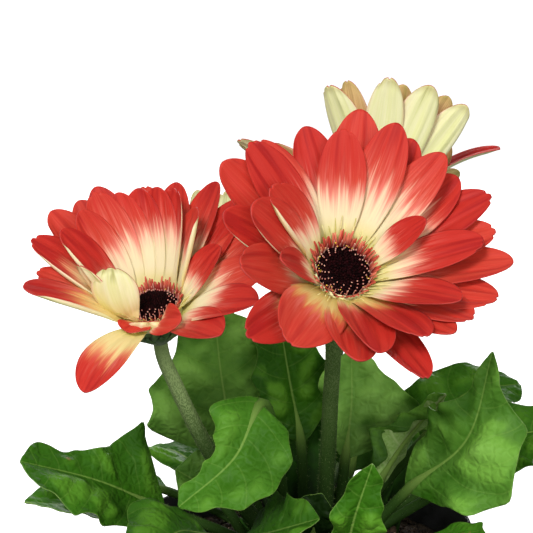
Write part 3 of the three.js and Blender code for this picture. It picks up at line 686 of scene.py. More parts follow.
def only(*objects):
    """Leaves just these objects selected, with the first one active."""
    bpy.ops.object.select_all(action="DESELECT")
    for obj in objects:
        obj.select_set(True)
    bpy.context.view_layer.objects.active = objects[0]


def named(name, *materials):
    """Names the primitive that was just added and gives it its materials."""
    obj = bpy.context.object
    obj.name = name
    for material in materials:
        obj.data.materials.append(material)
    return obj


def modified(obj, kind, **settings):
    """Adds one modifier and applies it."""
    only(obj)
    bpy.ops.object.modifier_add(type=kind)
    modifier = obj.modifiers[-1]
    for name, value in settings.items():
        setattr(modifier, name, value)
    bpy.ops.object.modifier_apply(modifier=modifier.name)


def vertices(obj):
    """The vertices as an array with a row for each."""
    flat = np.empty(3 * len(obj.data.vertices), np.float32)
    obj.data.vertices.foreach_get("co", flat)
    return flat.reshape(-1, 3).astype(float)


def moved(obj, places):
    obj.data.vertices.foreach_set("co", np.asarray(places, np.float32).ravel())
    obj.data.update()


def noted(obj, **numbers):
    """Stores a number, or one for each vertex, under each name."""
    count = len(obj.data.vertices)
    for name, values in numbers.items():
        attribute = obj.data.attributes.new(name, "FLOAT", "POINT")
        attribute.data.foreach_set("value", np.broadcast_to(values, count).astype(np.float32))


def copied(blank):
    copy = blank.copy()
    copy.data = blank.data.copy()
    bpy.context.collection.objects.link(copy)
    return copy


def joined(name, pieces):
    """One object of several. They keep their materials and numbers."""
    only(*pieces)
    if len(pieces) > 1:
        bpy.ops.object.join()
    bpy.ops.object.shade_smooth()
    pieces[0].name = name
    return pieces[0]


def finished(piece, node=None):
    """The piece rides on the plant's body and stands for its solid, which is hidden."""
    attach(piece, "root")
    if node:
        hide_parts(node)
    triangles = sum(len(face.vertices) - 2 for face in piece.data.polygons)
    print(f"{piece.name}: {triangles} triangles")


def draw(seed, index):
    """A fixed draw between -1 and 1."""
    x = math.sin(seed * 12.9898 + index * 78.233) * 43758.5453
    return 2 * (x - math.floor(x)) - 1


def lerp(a, b, share):
    return a + (b - a) * share


def smoothstep(low, high, x):
    share = np.clip((x - low) / (high - low), 0, 1)
    return share * share * (3 - 2 * share)


# %% [markdown]
# ## Lines that pieces follow
#
# Petals, leaves, stems and bracts are all laid along a line in space. `Rail` is such a line
# with a little frame at each place: `side` points across the piece, `up` out of its upper face
# and `along` to its tip. A stem's line is a smooth curve through a few points: a centripetal
# Catmull-Rom spline, which makes no loops where points lie close together.

# %% Smooth curves and rails


def spline(points, steps=40):
    """Points of a centripetal Catmull-Rom spline, with this many to each stretch."""
    points = np.array(points, float)
    before = 2 * points[0] - points[1]
    after = 2 * points[-1] - points[-2]
    knots = np.vstack([before, points, after])
    shares = np.arange(steps)[:, None] / steps
    stretches = []
    for a, b, c, d in zip(knots, knots[1:], knots[2:], knots[3:]):
        ab, bc, cd = [math.sqrt(math.dist(*pair)) for pair in ((a, b), (b, c), (c, d))]
        leave = ((b - a) / ab - (c - a) / (ab + bc) + (c - b) / bc) * bc
        arrive = ((c - b) / bc - (d - b) / (bc + cd) + (d - c) / cd) * bc
        cubic = 2 * b - 2 * c + leave + arrive
        square = -3 * b + 3 * c - 2 * leave - arrive
        stretches.append(b + leave * shares + square * shares**2 + cubic * shares**3)
    return np.vstack([*stretches, points[-1:]])


def unit(rows):
    return rows / np.linalg.norm(rows, axis=-1, keepdims=True)


class Rail:
    """A line with a frame at each place. Shares run from 0 at its foot to 1 at its tip.

    ups gives rough upward directions for an array of shares."""

    def __init__(self, spots, ups):
        steps = np.linalg.norm(np.diff(spots, axis=0), axis=1)
        self.length = steps.sum()
        self.shares = np.concatenate([[0], np.cumsum(steps)]) / self.length
        self.spots = spots
        self.alongs = unit(np.gradient(spots, self.shares, axis=0))
        self.sides = unit(np.cross(self.alongs, ups(self.shares)))
        self.ups = np.cross(self.sides, self.alongs)

    def at(self, table, share):
        return np.stack([np.interp(share, self.shares, column) for column in table.T], -1)

    def lay(self, share, side, up, ahead=0.0):
        """Places beside the line, by distances to the side, up and ahead."""
        ahead = np.broadcast_to(ahead, np.shape(share))
        return (
            self.at(self.spots, share)
            + self.at(self.sides, share) * side[:, None]
            + self.at(self.ups, share) * up[:, None]
            + self.at(self.alongs, share) * ahead[:, None]
        )


# %% [markdown]
# ## Blanks: a petal, a strap, a bract, a stem and a hair
#
# A blade is a grid primitive thickened by Solidify, which also gives its underside and its cut
# edge materials of their own. In the blank, x is the share of the half width, y the share of
# the length, and z is in millimetres. The grid's rows are bent towards the tip so that they end
# along the round end of the petal and no faces are pinched there.
#
# A stem is a cylinder primitive, 1 in radius and 1 long, cut into many rings.

# %% Blade blanks
PETAL_WIDEST = 0.6  # share of the length
PETAL_CLAW = 0.34  # half width at the root, in shares of the greatest
PETAL_TAPER = 0.56  # how pointed the tip is: 0.5 gives a half ellipse
PETAL_THICKNESS = 0.5
CAP_ROW = 0.62  # the row of the grid where the round end begins
CAP_ANGLE = math.radians(50)  # where on the round end the grid's corner lies
PETAL_COLUMNS = 22
PETAL_ROWS = 30
GROOVE_PLACE = 0.34  # of the groove in each half, in shares of the half width
GROOVE_WIDTH = 0.13
GROOVE_DEPTH = 0.45
NOTCH_WIDTH = 0.09


def end_arc(t):
    """1 at the widest place and 0 at the tip. Its root gives a half ellipse."""
    return np.maximum(0, 1 - (np.maximum(t - PETAL_WIDEST, 0) / (1 - PETAL_WIDEST)) ** 2)


def petal_shape(t):
    """Half width at a share of the length, in shares of the greatest half width."""
    rise = PETAL_CLAW + (1 - PETAL_CLAW) * np.sin(math.pi / 2 * np.minimum(t / PETAL_WIDEST, 1))
    return np.where(t < PETAL_WIDEST, rise, end_arc(t) ** PETAL_TAPER)


def petal_outline(s, row):
    """Bends the unit square into a petal: s is -1 to 1 across, row is 0 to 1 along."""
    t = PETAL_WIDEST * np.minimum(row / CAP_ROW, 1)
    cap = np.clip((row - CAP_ROW) / (1 - CAP_ROW), 1e-6, 1)
    arc = cap * (math.pi / 2 - CAP_ANGLE)
    radius = np.cos(cap * CAP_ANGLE) / np.sin(arc)
    cap_x = radius * np.sin(s * arc)
    cap_y = np.sin(cap * CAP_ANGLE) + radius * (np.cos(s * arc) - np.cos(arc))
    in_cap = row > CAP_ROW
    y = np.where(in_cap, PETAL_WIDEST + (1 - PETAL_WIDEST) * cap_y, t)
    tapered = cap_x * end_arc(y) ** (PETAL_TAPER - 0.5)
    x = np.where(in_cap, tapered, s * petal_shape(t))
    return x, y


def blade_blank(name, columns, rows, materials):
    """A closed flat blade, -1 to 1 across and 0 to 1 long, with faces at z -1 and 1."""
    bpy.ops.object.select_all(action="DESELECT")
    bpy.ops.mesh.primitive_grid_add(x_subdivisions=columns, y_subdivisions=rows, size=2)
    blank = named(name, *materials)
    offsets = {"material_offset": 1, "material_offset_rim": 2}
    modified(blank, "SOLIDIFY", thickness=2, offset=0, **offsets)
    where = vertices(blank)
    where[:, 1] = (where[:, 1] + 1) / 2
    moved(blank, where)
    return blank


def hollow(s, place, width):
    """1 at a place across the blade, and softly down to 0 at both sides of it."""
    return np.exp(-(((s - place) / width) ** 2))


def petal_blank(name, notches, materials):
    """A flat petal with grooves along it and small notches in its tip."""
    blank = blade_blank(name, PETAL_COLUMNS, PETAL_ROWS, materials)
    s, row, face = vertices(blank).T
    x, y = petal_outline(s, row)
    near_tip = smoothstep(0.75, 1, row)
    for place, depth in notches:
        y -= depth * near_tip * hollow(s, place, NOTCH_WIDTH)
    grooves = hollow(s, GROOVE_PLACE, GROOVE_WIDTH) + hollow(s, -GROOVE_PLACE, GROOVE_WIDTH)
    low = -GROOVE_DEPTH * grooves * smoothstep(0.05, 0.3, row) * (1 - smoothstep(0.86, 1, row))
    thinner = 1 - 0.6 * abs(s) ** 3
    moved(blank, np.stack([x, y, low + face * thinner * PETAL_THICKNESS / 2], -1))
    return blank


PETAL_BLANKS = [
    petal_blank("round_petal", [], PETAL_FINISHES),
    petal_blank("notched_petal", [(-0.3, 0.018), (0.36, 0.024)], PETAL_FINISHES),
    petal_blank("dented_petal", [(0.05, 0.02), (0.7, 0.02)], PETAL_FINISHES),
]
print("petal blank:", len(PETAL_BLANKS[0].data.polygons), "faces")

# %% Small blades, stems and hairs


def narrow_blank(name, columns, rows, thickness, material, shape):
    blank = blade_blank(name, columns, rows, [material] * 3)
    s, t, face = vertices(blank).T
    moved(blank, np.stack([s * shape(t), t, face * thickness / 2], -1))
    return blank


def is_upright(obj, edge):
    low, high = [obj.data.vertices[i].co.z for i in edge.vertices]
    return abs(high - low) > 0.5


def stem_blank(name, sides, rings):
    """A closed cylinder, 1 in radius and 1 long, cut into rings."""
    bpy.ops.object.select_all(action="DESELECT")
    bpy.ops.mesh.primitive_cylinder_add(vertices=sides, radius=1, depth=1, location=(0, 0, 0.5))
    blank = named(name)
    bpy.ops.object.transform_apply()
    upright = [edge.index for edge in blank.data.edges if is_upright(blank, edge)]
    only(blank)
    bpy.ops.object.mode_set(mode="EDIT")
    bpy.ops.mesh.select_mode(type="EDGE")
    bpy.ops.mesh.select_all(action="DESELECT")
    bpy.ops.object.mode_set(mode="OBJECT")
    for i in upright:
        blank.data.edges[i].select = True
    bpy.ops.object.mode_set(mode="EDIT")
    bpy.ops.mesh.subdivide(number_cuts=rings - 1)
    bpy.ops.object.mode_set(mode="OBJECT")
    return blank


def small_blank(name, add, **settings):
    """A small primitive at the origin, to be scattered."""
    bpy.ops.object.select_all(action="DESELECT")
    add(**settings)
    blank = named(name)
    bpy.ops.object.transform_apply()
    return blank


STRAP_BLANK = narrow_blank("strap", 2, 6, 0.25, STRAP_SKIN, lambda t: 1 - 0.65 * t**3)
BRACT_BLANK = narrow_blank("bract", 4, 9, 0.5, BRACT_SKIN, lambda t: np.sin(2.75 * (t + 0.14)) ** 0.8)
STEM_BLANK = stem_blank("stem", 16, 56)
THREAD_BLANK = stem_blank("thread", 5, 7)
HAIR_BLANK = small_blank(
    "hair", bpy.ops.mesh.primitive_cone_add, vertices=3, radius1=1, depth=1, location=(0, 0, 0.5)
)
GRAIN_BLANK = small_blank("grain", bpy.ops.mesh.primitive_ico_sphere_add, subdivisions=1, radius=1)
BUD_BLANK = small_blank("bud", bpy.ops.mesh.primitive_ico_sphere_add, subdivisions=2, radius=1)
BLANKS = [
    *PETAL_BLANKS, STRAP_BLANK, BRACT_BLANK, STEM_BLANK, THREAD_BLANK, HAIR_BLANK, GRAIN_BLANK,
    BUD_BLANK,
]
print("blanks:", len(BLANKS))

# %% Scattering small pieces


def scattered(name, blank, material, matrices, own):
    """One object of many copies of a blank, each with its 4 x 4 matrix and its own number."""
    matrices = np.asarray(matrices, float)
    shape = vertices(blank)
    places = np.einsum("nij,vj->nvi", matrices[:, :3, :3], shape) + matrices[:, None, :3, 3]
    faces = [tuple(face.vertices) for face in blank.data.polygons]
    count = len(shape)
    all_faces = [[i + n * count for i in face] for n in range(len(matrices)) for face in faces]
    mesh = bpy.data.meshes.new(name)
    mesh.from_pydata(places.reshape(-1, 3).tolist(), [], all_faces)
    mesh.materials.append(material)
    piece = bpy.data.objects.new(name, mesh)
    bpy.context.collection.objects.link(piece)
    noted(piece, own=np.repeat(own, count))
    return piece


def pointing(place, direction, spin, sizes):
    """A matrix that stands a blank on a place, pointing in a direction."""
    turn = Vector(direction).to_track_quat("Z", "Y").to_matrix()
    c, s = math.cos(spin), math.sin(spin)
    twist = np.array([[c, -s, 0], [s, c, 0], [0, 0, 1]])
    matrix = np.eye(4)
    matrix[:3, :3] = np.array(turn) @ twist @ np.diag(sizes)
    matrix[:3, 3] = place
    return matrix


# %% [markdown]
# ## The pot
#
# A nursery pot is thin plastic moulded in one piece: a tapered wall, a thicker band below the
# rim and drainage holes in the floor. It is a turned form, so it starts as one circle that is
# extruded and resized from one point of its outline to the next, outside up and inside down.
# Short steps at the corners keep them softly rounded. A ring of cylinders drills the floor.

# %% The pot's outline
POT_HEIGHT = 103
POT_RIM = 57
POT_FOOT = 40
POT_BAND = 15
POT_WALL = 1.6
POT_FLOOR = 2.4
POT_UNDER_BAND = POT_RIM - 3.2
BAND_FOOT = POT_HEIGHT - POT_BAND
POT_SIDES = 144
POT_OUTLINE = [
    # the foot, then the wall up to the band
    (2, 0), (POT_FOOT - 2.6, 0), (POT_FOOT - 1.2, 0.2), (POT_FOOT - 0.2, 1.0), (POT_FOOT, 2.2),
    (POT_UNDER_BAND - 0.3, BAND_FOOT - 1.4), (POT_UNDER_BAND + 0.1, BAND_FOOT - 0.4),
    # the band and the rim
    (POT_RIM - 1.5, BAND_FOOT), (POT_RIM - 1.05, BAND_FOOT + 0.5),
    (POT_RIM - 0.2, POT_HEIGHT - 3), (POT_RIM, POT_HEIGHT - 1.0), (POT_RIM - 0.3, POT_HEIGHT - 0.2),
    (POT_RIM - 0.8, POT_HEIGHT), (POT_RIM - 1.3, POT_HEIGHT - 0.2), (POT_RIM - 1.6, POT_HEIGHT - 1),
    # the inside, down to the floor
    (POT_UNDER_BAND - 1.4, BAND_FOOT - 0.6), (POT_UNDER_BAND - 1.8, BAND_FOOT - 2.4),
    (POT_FOOT - 1.5, POT_FLOOR + 1), (POT_FOOT - 2.6, POT_FLOOR), (2, POT_FLOOR),
]
DRAIN_HOLES = 8
DRAIN_RADIUS = 4
DRAIN_CIRCLE = 29


def turned(name, outline, sides, *materials):
    """A closed turned piece from its outline of (radius, height) in millimetres."""
    radius, height = outline[0]
    bpy.ops.object.select_all(action="DESELECT")
    bpy.ops.mesh.primitive_circle_add(vertices=sides, radius=radius * MM)
    piece = named(name, *materials)
    only(piece)
    bpy.ops.object.mode_set(mode="EDIT")
    bpy.ops.mesh.select_all(action="SELECT")
    bpy.ops.transform.translate(value=(0, 0, height * MM))
    for next_radius, next_height in outline[1:]:
        bpy.ops.mesh.extrude_edges_move()
        bpy.ops.transform.translate(value=(0, 0, (next_height - height) * MM))
        bpy.ops.transform.resize(value=(next_radius / radius, next_radius / radius, 1))
        radius, height = next_radius, next_height
    bpy.ops.mesh.select_all(action="DESELECT")
    bpy.ops.mesh.select_non_manifold()
    bpy.ops.mesh.fill_holes(sides=0)
    bpy.ops.mesh.select_all(action="SELECT")
    bpy.ops.mesh.normals_make_consistent(inside=False)
    bpy.ops.object.mode_set(mode="OBJECT")
    return piece


def make_pot():
    pot = turned("pot_shell", POT_OUTLINE, POT_SIDES, pot_skin())
    drills = []
    for i in range(DRAIN_HOLES):
        angle = 2 * math.pi * (i + 0.5) / DRAIN_HOLES
        place = (DRAIN_CIRCLE * MM * math.cos(angle), DRAIN_CIRCLE * MM * math.sin(angle), 0)
        bpy.ops.object.select_all(action="DESELECT")
        bpy.ops.mesh.primitive_cylinder_add(
            vertices=28, radius=DRAIN_RADIUS * MM, depth=4 * POT_FLOOR * MM, location=place
        )
        drills.append(named("drill"))
    drill = joined("drills", drills)
    modified(pot, "BOOLEAN", operation="DIFFERENCE", object=drill)
    bpy.data.objects.remove(drill)
    only(pot)
    bpy.ops.object.shade_smooth_by_angle(angle=math.radians(40))
    return pot


pot = make_pot()
finished(pot, "pot")

# %% [markdown]
# ## The soil
#
# Potting soil is peat: a dark surface mounded a little round the plant's crown, with crumbs of
# all sizes, fibres, and here and there a light splinter or grain. One noisy surface alone looks
# like rubber. So the ground is a turned piece whose top is raised by noise, and some thousands
# of crumbs, each a primitive of twenty faces squashed at random, are scattered over it.

# %% The ground
SOIL_TOP = 92
SOIL_RISE = 2.5
SOIL_RADIUS = 52.8
SOIL_GAP = 0.4
SOIL_RINGS = 44
SOIL_SIDES = 150
LUMPS = [(14, 0.9), (5, 0.7), (2.2, 0.45)]  # size and height


def soil_height(x, y):
    """Height of the ground in millimetres, with its lumps."""
    share = min(1, math.hypot(x, y) / SOIL_RADIUS)
    lumps = 0.0
    for size, height in LUMPS:
        lumps += height * noise.noise(Vector((x, y, 3.7)) / size)
    return SOIL_TOP + SOIL_RISE * (1 - share * share) + lumps


def make_ground():
    floor_radius = POT_FOOT - POT_WALL - SOIL_GAP
    outline = [(2, POT_FLOOR + SOIL_GAP), (floor_radius, POT_FLOOR + SOIL_GAP)]
    outline.append((POT_UNDER_BAND - POT_WALL - SOIL_GAP, BAND_FOOT - 1))
    for i in range(SOIL_RINGS):
        outline.append((lerp(SOIL_RADIUS, 0.8, i / (SOIL_RINGS - 1)), SOIL_TOP))
    ground = turned("soil_ground", outline, SOIL_SIDES, soil_skin())
    where = vertices(ground)
    for place in where:
        if place[2] > (SOIL_TOP - 1) * MM:
            place[2] = soil_height(place[0] / MM, place[1] / MM) * MM
    moved(ground, where)
    only(ground)
    bpy.ops.object.shade_smooth()
    return ground


ground = make_ground()
finished(ground, "soil")

# %% Crumbs and light bits
CRUMBS = 4200
CHIPS = 150
GRAIN_EDGE = 2.2  # how far inside the edge of the ground grains lie


def scatter_on_ground(name, count, seed, sizes, flatness, material):
    """Squashed grains at random on the ground, big ones rarer than small ones.

    sizes are the smallest and the largest radius, flatness the height of a round one."""
    rng = np.random.default_rng(seed)
    matrices = []
    for _ in range(count):
        radius = (SOIL_RADIUS - GRAIN_EDGE) * math.sqrt(rng.random())
        angle = rng.random() * 2 * math.pi
        x, y = radius * math.cos(angle), radius * math.sin(angle)
        size = lerp(*sizes, rng.random() ** 4)
        place = np.array((x, y, soil_height(x, y) + 0.25 * size)) * MM
        lean = (*rng.normal(0, 0.35, 2), 1)
        shape = np.array((lerp(0.6, 1.5, rng.random()), lerp(0.5, 1, rng.random()), flatness))
        matrices.append(pointing(place, lean, rng.random() * 6.28, size * shape * MM))
    piece = scattered(name, GRAIN_BLANK, material, matrices, rng.random(count) * 2 - 1)
    finished(piece)


scatter_on_ground("soil_crumbs", CRUMBS, 5, (0.35, 2.0), 0.75, crumb_skin())
scatter_on_ground("soil_chips", CHIPS, 8, (0.4, 1.5), 0.4, chip_skin())

# %% [markdown]
# ## The blooms' measures
#
# A bloom has a frame of its own: z along its axis, y uphill. Its petals are set by the clock
# of someone who looks into its face, and each leaves its root at one pitch above the bloom's
# plane and bends evenly to another. A row lists `(clock, length)`. A third number changes the
# tip's pitch by so many degrees and the root's by half as many. Single petals that stand out
# state a pitch of their own, and some a width, a turn or a roll.
#
# `face` is the middle of the disc, `root` the stalk's hole in the soil, and `route` the points
# that the stalk passes. `size` scales a whole bloom, and `slender` only the width of the petals
# in its rows. `stalk` gives the stalk's radius below and above, `down_and_light` how thick its down is
# and how much painted light brightens the stalk, `gold` how golden the backs of inner petals
# are, partly as painted shade, and `bract_tip` how far out its bracts reach.

# %% The four blooms
OUTER = {"width": 16, "radius": 9.4, "height": 2.2}
INNER = {"width": 15.5, "radius": 9.2, "height": 3.6, "inner": 1}
SHORT = {"width": 9.5, "radius": 9, "height": 4.2, "inner": 1}
BLOOMS = [
    {
        "name": "bloom_front", "seed": 11, "face": (11.4, -48, 199.3), "axis": (0.19, -0.75, 0.63),
        "size": 1.0, "root": (6.2, -3), "route": [(7.4, -9, 122), (8.2, -18, 150), (8.6, -26, 170)],
        "stalk": (2.9, 2.4), "down_and_light": 0.6, "gold": 0.5, "bract_tip": 11.2, "slender": 1.0,
        "rows": [
            {**OUTER, "pitch": (40, 22), "petals": [
                (12, 45), (36, 41), (61, 40), (72, 45), (88, 42), (104, 46), (120, 43),
                (132, 40, 5), (145, 40, 8), (166, 45, -4), (192, 41, 8), (231, 45, -4),
                (258, 40, 12), (284, 40, 8), (305, 45), (326, 42), (350, 40)]},
            {**INNER, "pitch": (52, 30), "petals": [
                (1, 38), (27, 43), (51, 42), (96, 39), (134, 38, 4), (159, 40), (181, 40, -3),
                (286, 37, 10), (316, 44, -5)]},
        ],
        "singles": [
            {**SHORT, "clock": 76, "length": 26, "pitch": (64, 48)},
            {**SHORT, "clock": 256, "length": 28, "width": 11, "pitch": (62, 42)},
            {**SHORT, "clock": 304, "length": 33, "width": 15, "pitch": (60, 38)},
            {**INNER, "clock": 218, "length": 41, "width": 21, "pitch": (48, 16)},
        ],
    },
    {
        "name": "bloom_left", "seed": 23, "face": (-48.8, -38, 187), "axis": (-0.13, -0.4, 0.907),
        "size": 0.92, "root": (-12.4, -6.2),
        "route": [(-27.3, -14, 123.5), (-35.4, -20, 140), (-42.6, -27, 158)],
        "stalk": (2.9, 2.3), "down_and_light": 2.3, "gold": 0.25, "bract_tip": 10.9, "slender": 1.0,
        "rows": [
            {**OUTER, "pitch": (55, 41), "petals": [
                (3, 41), (26, 44), (226, 45, -8), (245, 37, -6), (263, 43), (286, 44), (303, 42),
                (318, 44), (342, 40)]},
            {**INNER, "pitch": (71, 57), "petals": [
                (11, 38), (37, 34), (264, 38, -4), (289, 38), (306, 41), (325, 38), (340, 38),
                (355, 38)]},
        ],
        "singles": [
            {**OUTER, "clock": 46, "length": 43, "pitch": (52, 38), "roll": -8},
            {**OUTER, "clock": 67, "length": 42, "pitch": (47, 31), "roll": -18},
            {**INNER, "clock": 70, "length": 28, "width": 12, "pitch": (62, 42), "roll": -24},
            {**OUTER, "clock": 88, "length": 41, "width": 17, "pitch": (42, 22), "roll": -26},
            {**OUTER, "clock": 107, "length": 41, "pitch": (38, 14), "roll": -14},
            {**OUTER, "clock": 127, "length": 36, "pitch": (36, 5), "roll": -10},
            {**OUTER, "clock": 189, "length": 40, "width": 16, "pitch": (25, -18), "height": 1.8},
            {**INNER, "clock": 152, "length": 20, "width": 12, "pitch": (46, 16), "turn": -50,
             "roll": -34},
            {**INNER, "clock": 166, "length": 9, "width": 15, "pitch": (38, 84), "height": 0.8},
            {**INNER, "clock": 188, "length": 9, "width": 12, "pitch": (34, 2), "height": 4},
            {**INNER, "clock": 214, "length": 26, "width": 16, "pitch": (58, 104), "roll": -36,
             "turn": -16},
            {**INNER, "clock": 236, "length": 29, "width": 13, "pitch": (54, 74), "roll": -30},
        ],
    },
    {
        "name": "bloom_back_right", "seed": 37, "face": (25.4, 46, 205), "axis": (0.08, 0.7, 0.71),
        "size": 1.0, "root": (6.4, 13.4), "route": [(8, 18, 116), (10, 22, 148), (16, 26, 174)],
        "stalk": (2.8, 2.3), "down_and_light": 0.8, "gold": 1.0, "bract_tip": 11.2, "slender": 0.86,
        "rows": [
            {**OUTER, "pitch": (33, 20), "petals": [
                (15, 46), (69, 47, -4), (88, 46, -6), (110, 42), (131, 43), (152, 42), (175, 43),
                (199, 42), (220, 40), (240, 37), (319, 46), (338, 48), (354, 48)]},
            {**INNER, "pitch": (47, 33), "petals": [
                (13, 43), (76, 38), (102, 38), (126, 39), (150, 38), (182, 38), (212, 38),
                (238, 34), (264, 30, 8), (298, 30, 6), (322, 43), (345, 42)]},
        ],
        "singles": [
            {**OUTER, "clock": 289, "length": 45, "width": 13, "pitch": (62, -6), "roll": -53},
        ],
    },
    {
        "name": "bloom_back_left", "seed": 53, "face": (-29.5, 30, 182), "axis": (-0.14, 0.22, 0.965),
        "size": 0.82, "root": (-6.4, 12.2), "route": [(-11, 18, 116), (-18, 23, 140), (-24.6, 26.4, 160)],
        "stalk": (2.5, 2.1), "down_and_light": 0.8, "gold": 0.1, "bract_tip": 10.4, "slender": 0.95,
        "rows": [
            {**OUTER, "width": 14, "pitch": (76, 68), "petals": [
                (10, 42), (40, 44), (64, 42), (92, 43), (118, 42), (150, 43), (176, 42), (204, 43),
                (228, 42), (252, 42), (284, 43), (312, 42), (338, 42)]},
            {**INNER, "width": 12, "pitch": (84, 76), "petals": [
                (26, 38), (78, 37), (130, 38), (182, 37), (232, 38), (286, 37), (330, 38)]},
        ],
        "singles": [],
    },
]
DISC_HEIGHT = 8  # of the disc's middle above the bottom of the receptacle

# %% The blooms' own frames


def bloom_matrix(bloom):
    """The bloom's own frame, from its millimetres to the plant's metres."""
    z = Vector(bloom["axis"]).normalized()
    y = (Vector((0, 0, 1)) - z * z.z).normalized()
    x = y.cross(z)
    foot = Vector(bloom["face"]) - z * DISC_HEIGHT * bloom["size"]
    matrix = np.eye(4)
    matrix[:3, :3] = np.array([x, y, z]).T * bloom["size"] * MM
    matrix[:3, 3] = np.array(foot) * MM
    return matrix


def carried(matrix, places):
    """Places of a bloom's own frame, moved into the plant's."""
    return places @ matrix[:3, :3].T + matrix[:3, 3]


def part_name(bloom, part):
    """rays_left, say, for the rays of bloom_left."""
    return bloom["name"].replace("bloom", part)


for bloom in BLOOMS:
    bloom["matrix"] = bloom_matrix(bloom)
print("blooms:", [bloom["name"] for bloom in BLOOMS])

# %% [markdown]
# ## Petals
#
# Rays grow from the edge of the receptacle in an outer and an inner row, and each lies a little
# tilted over its neighbour like a roof tile. A copy of a petal blank is laid along each ray's
# line. Its edges stand up a little (`cup`), and on some petals one edge is rolled inwards, so
# that a cream stripe of its underside shows.

# %% How single petals differ
PETAL_ROLL = 13  # degrees that a petal is tilted over its neighbour
ROLLED = {  # by bloom and clock: how much the left edge is rolled, or the right one if below 0
    "bloom_front": {350: 0.55, 12: -0.2, 326: 0.5, 284: 0.75, 304: 1.1, 305: 0.4, 286: 0.6, 166: 0.9,
                    181: 0.5},
    "bloom_left": {286: 0.7, 318: 0.8, 306: 0.6, 340: 0.3, 342: 0.4, 11: -0.5, 37: -1.1, 263: 0.8,
                   264: 1.1, 226: 1.1},
    "bloom_back_right": {15: -0.9, 354: 0.3, 338: 0.5, 319: 1.0},
}
RED_FROM = {  # by bloom and clock: where red starts, on rays that differ from the rest
    "bloom_front": {36: 0.4, 27: 0.42, 51: 0.44, 61: 0.45, 218: 0.34, 192: 0.36, 231: 0.4},
    "bloom_left": {
        189: 0.46, 226: 0.42, 245: 0.5, 263: 0.42, 67: 0.4, 88: 0.4, 107: 0.38,
        3: 0.46, 11: 0.5, 26: 0.42, 37: 0.48, 340: 0.5, 342: 0.46, 355: 0.52, 325: 0.5, 318: 0.42,
        306: 0.48, 303: 0.4, 289: 0.44,
    },
}
# Golden below the red: partly the ray's own colour, partly painted shade on rays that lie in shade.
WARMTH = {  # by bloom and clock: how golden a ray is below its red, where it differs
    "bloom_front": {145: 0.8, 159: 1.0, 218: 1.0},
    "bloom_left": {189: 0.75, 226: 0.9, 236: 1.0, 245: 1.0, 263: 0.6},
}
RED_START = 0.29  # share of a petal's length where its red usually starts
HIGH_CLOCK = 20  # the clock, in degrees, of the petals whose red starts furthest out
# Rays on the lower side of a bloom get more of this golden tint, partly as painted shade.
LOW_CLOCK = 205  # the clock of those that are most golden below their red
LOW_REACH = 70  # how many degrees to both sides they reach


def stated(table, bloom, petal, usual):
    """What a table states for a petal of this bloom, or else the usual value."""
    return table.get(bloom["name"], {}).get(petal["clock"], usual)


def colouring(bloom, petal, n):
    """The four numbers that the petal's finishes read."""
    off_low = abs((petal["clock"] - LOW_CLOCK + 180) % 360 - 180)
    low_side = smoothstep(LOW_REACH, 0, off_low)
    up_side = math.cos(math.radians(petal["clock"] - HIGH_CLOCK))
    chance = 0.03 * draw(bloom["seed"], n + 710)
    start = RED_START + 0.08 * up_side + chance - 0.04 * low_side
    return {
        "own": draw(bloom["seed"], n + 700),
        "start": stated(RED_FROM, bloom, petal, start),
        "warm": stated(WARMTH, bloom, petal, low_side),
        "gold": bloom["gold"] * petal.get("inner", 0),
    }


def all_petals(bloom):
    """Every petal of a bloom, the rows first, with small seeded draws on what they leave open."""
    petals = []
    for row in bloom["rows"]:
        for clock, length, *change in row["petals"]:
            n = len(petals)
            bend = change[0] if change else 0
            root, tip = row["pitch"]
            petals.append({
                **row,
                "clock": clock,
                "length": length,
                "width": row["width"] * bloom["slender"] * (1 + 0.09 * draw(bloom["seed"], n)),
                "pitch": (root + bend / 2, tip + bend + 2 * draw(bloom["seed"], n + 100)),
                "turn": 5 * draw(bloom["seed"], n + 200),
                "roll": PETAL_ROLL + 3 * draw(bloom["seed"], n + 300),
                "cup": 0.1 + 0.08 * draw(bloom["seed"], n + 400),
            })
    defaults = {"turn": 0, "roll": 4, "cup": 0.2}
    return petals + [{**defaults, **single} for single in bloom["singles"]]


# %% Laying the petals
PETAL_REACH = 0.996  # share of its line that a petal takes up
EDGE_ROLL = 2.6  # radians that a fully rolled edge turns
EDGE_SHARE = 0.70  # where the rolled edge starts, in shares of the half width


def petal_rail(petal, steps=40):
    """The line of a petal, which bends evenly from its first pitch to its second."""
    shares = (np.arange(steps) + 0.5) / steps
    clocks = np.radians(petal["clock"] + petal.get("turn", 0) * shares)
    pitches = np.radians(lerp(*petal["pitch"], shares))
    out = np.cos(pitches)
    heading = np.stack([np.sin(clocks) * out, np.cos(clocks) * out, np.sin(pitches)], -1)
    clock = math.radians(petal["clock"])
    root = np.array([math.sin(clock), math.cos(clock), 0]) * petal["radius"]
    root[2] = petal["height"]
    steps_out = np.cumsum(heading, axis=0) * petal["length"] / steps
    spots = np.vstack([root, root + steps_out])

    def faces(share):
        clocks = np.radians(petal["clock"] + petal.get("turn", 0) * share)
        pitches = np.radians(lerp(*petal["pitch"], share))
        roll = np.radians(petal.get("roll", 0)) * np.minimum(1, 5 * share)
        outward = np.stack([np.sin(clocks), np.cos(clocks), 0 * share], -1)
        normal = -outward * np.sin(pitches)[:, None]
        normal[:, 2] = np.cos(pitches)
        across = np.stack([np.cos(clocks), -np.sin(clocks), 0 * share], -1)
        return normal * np.cos(roll)[:, None] - across * np.sin(roll)[:, None]

    return Rail(spots, faces)


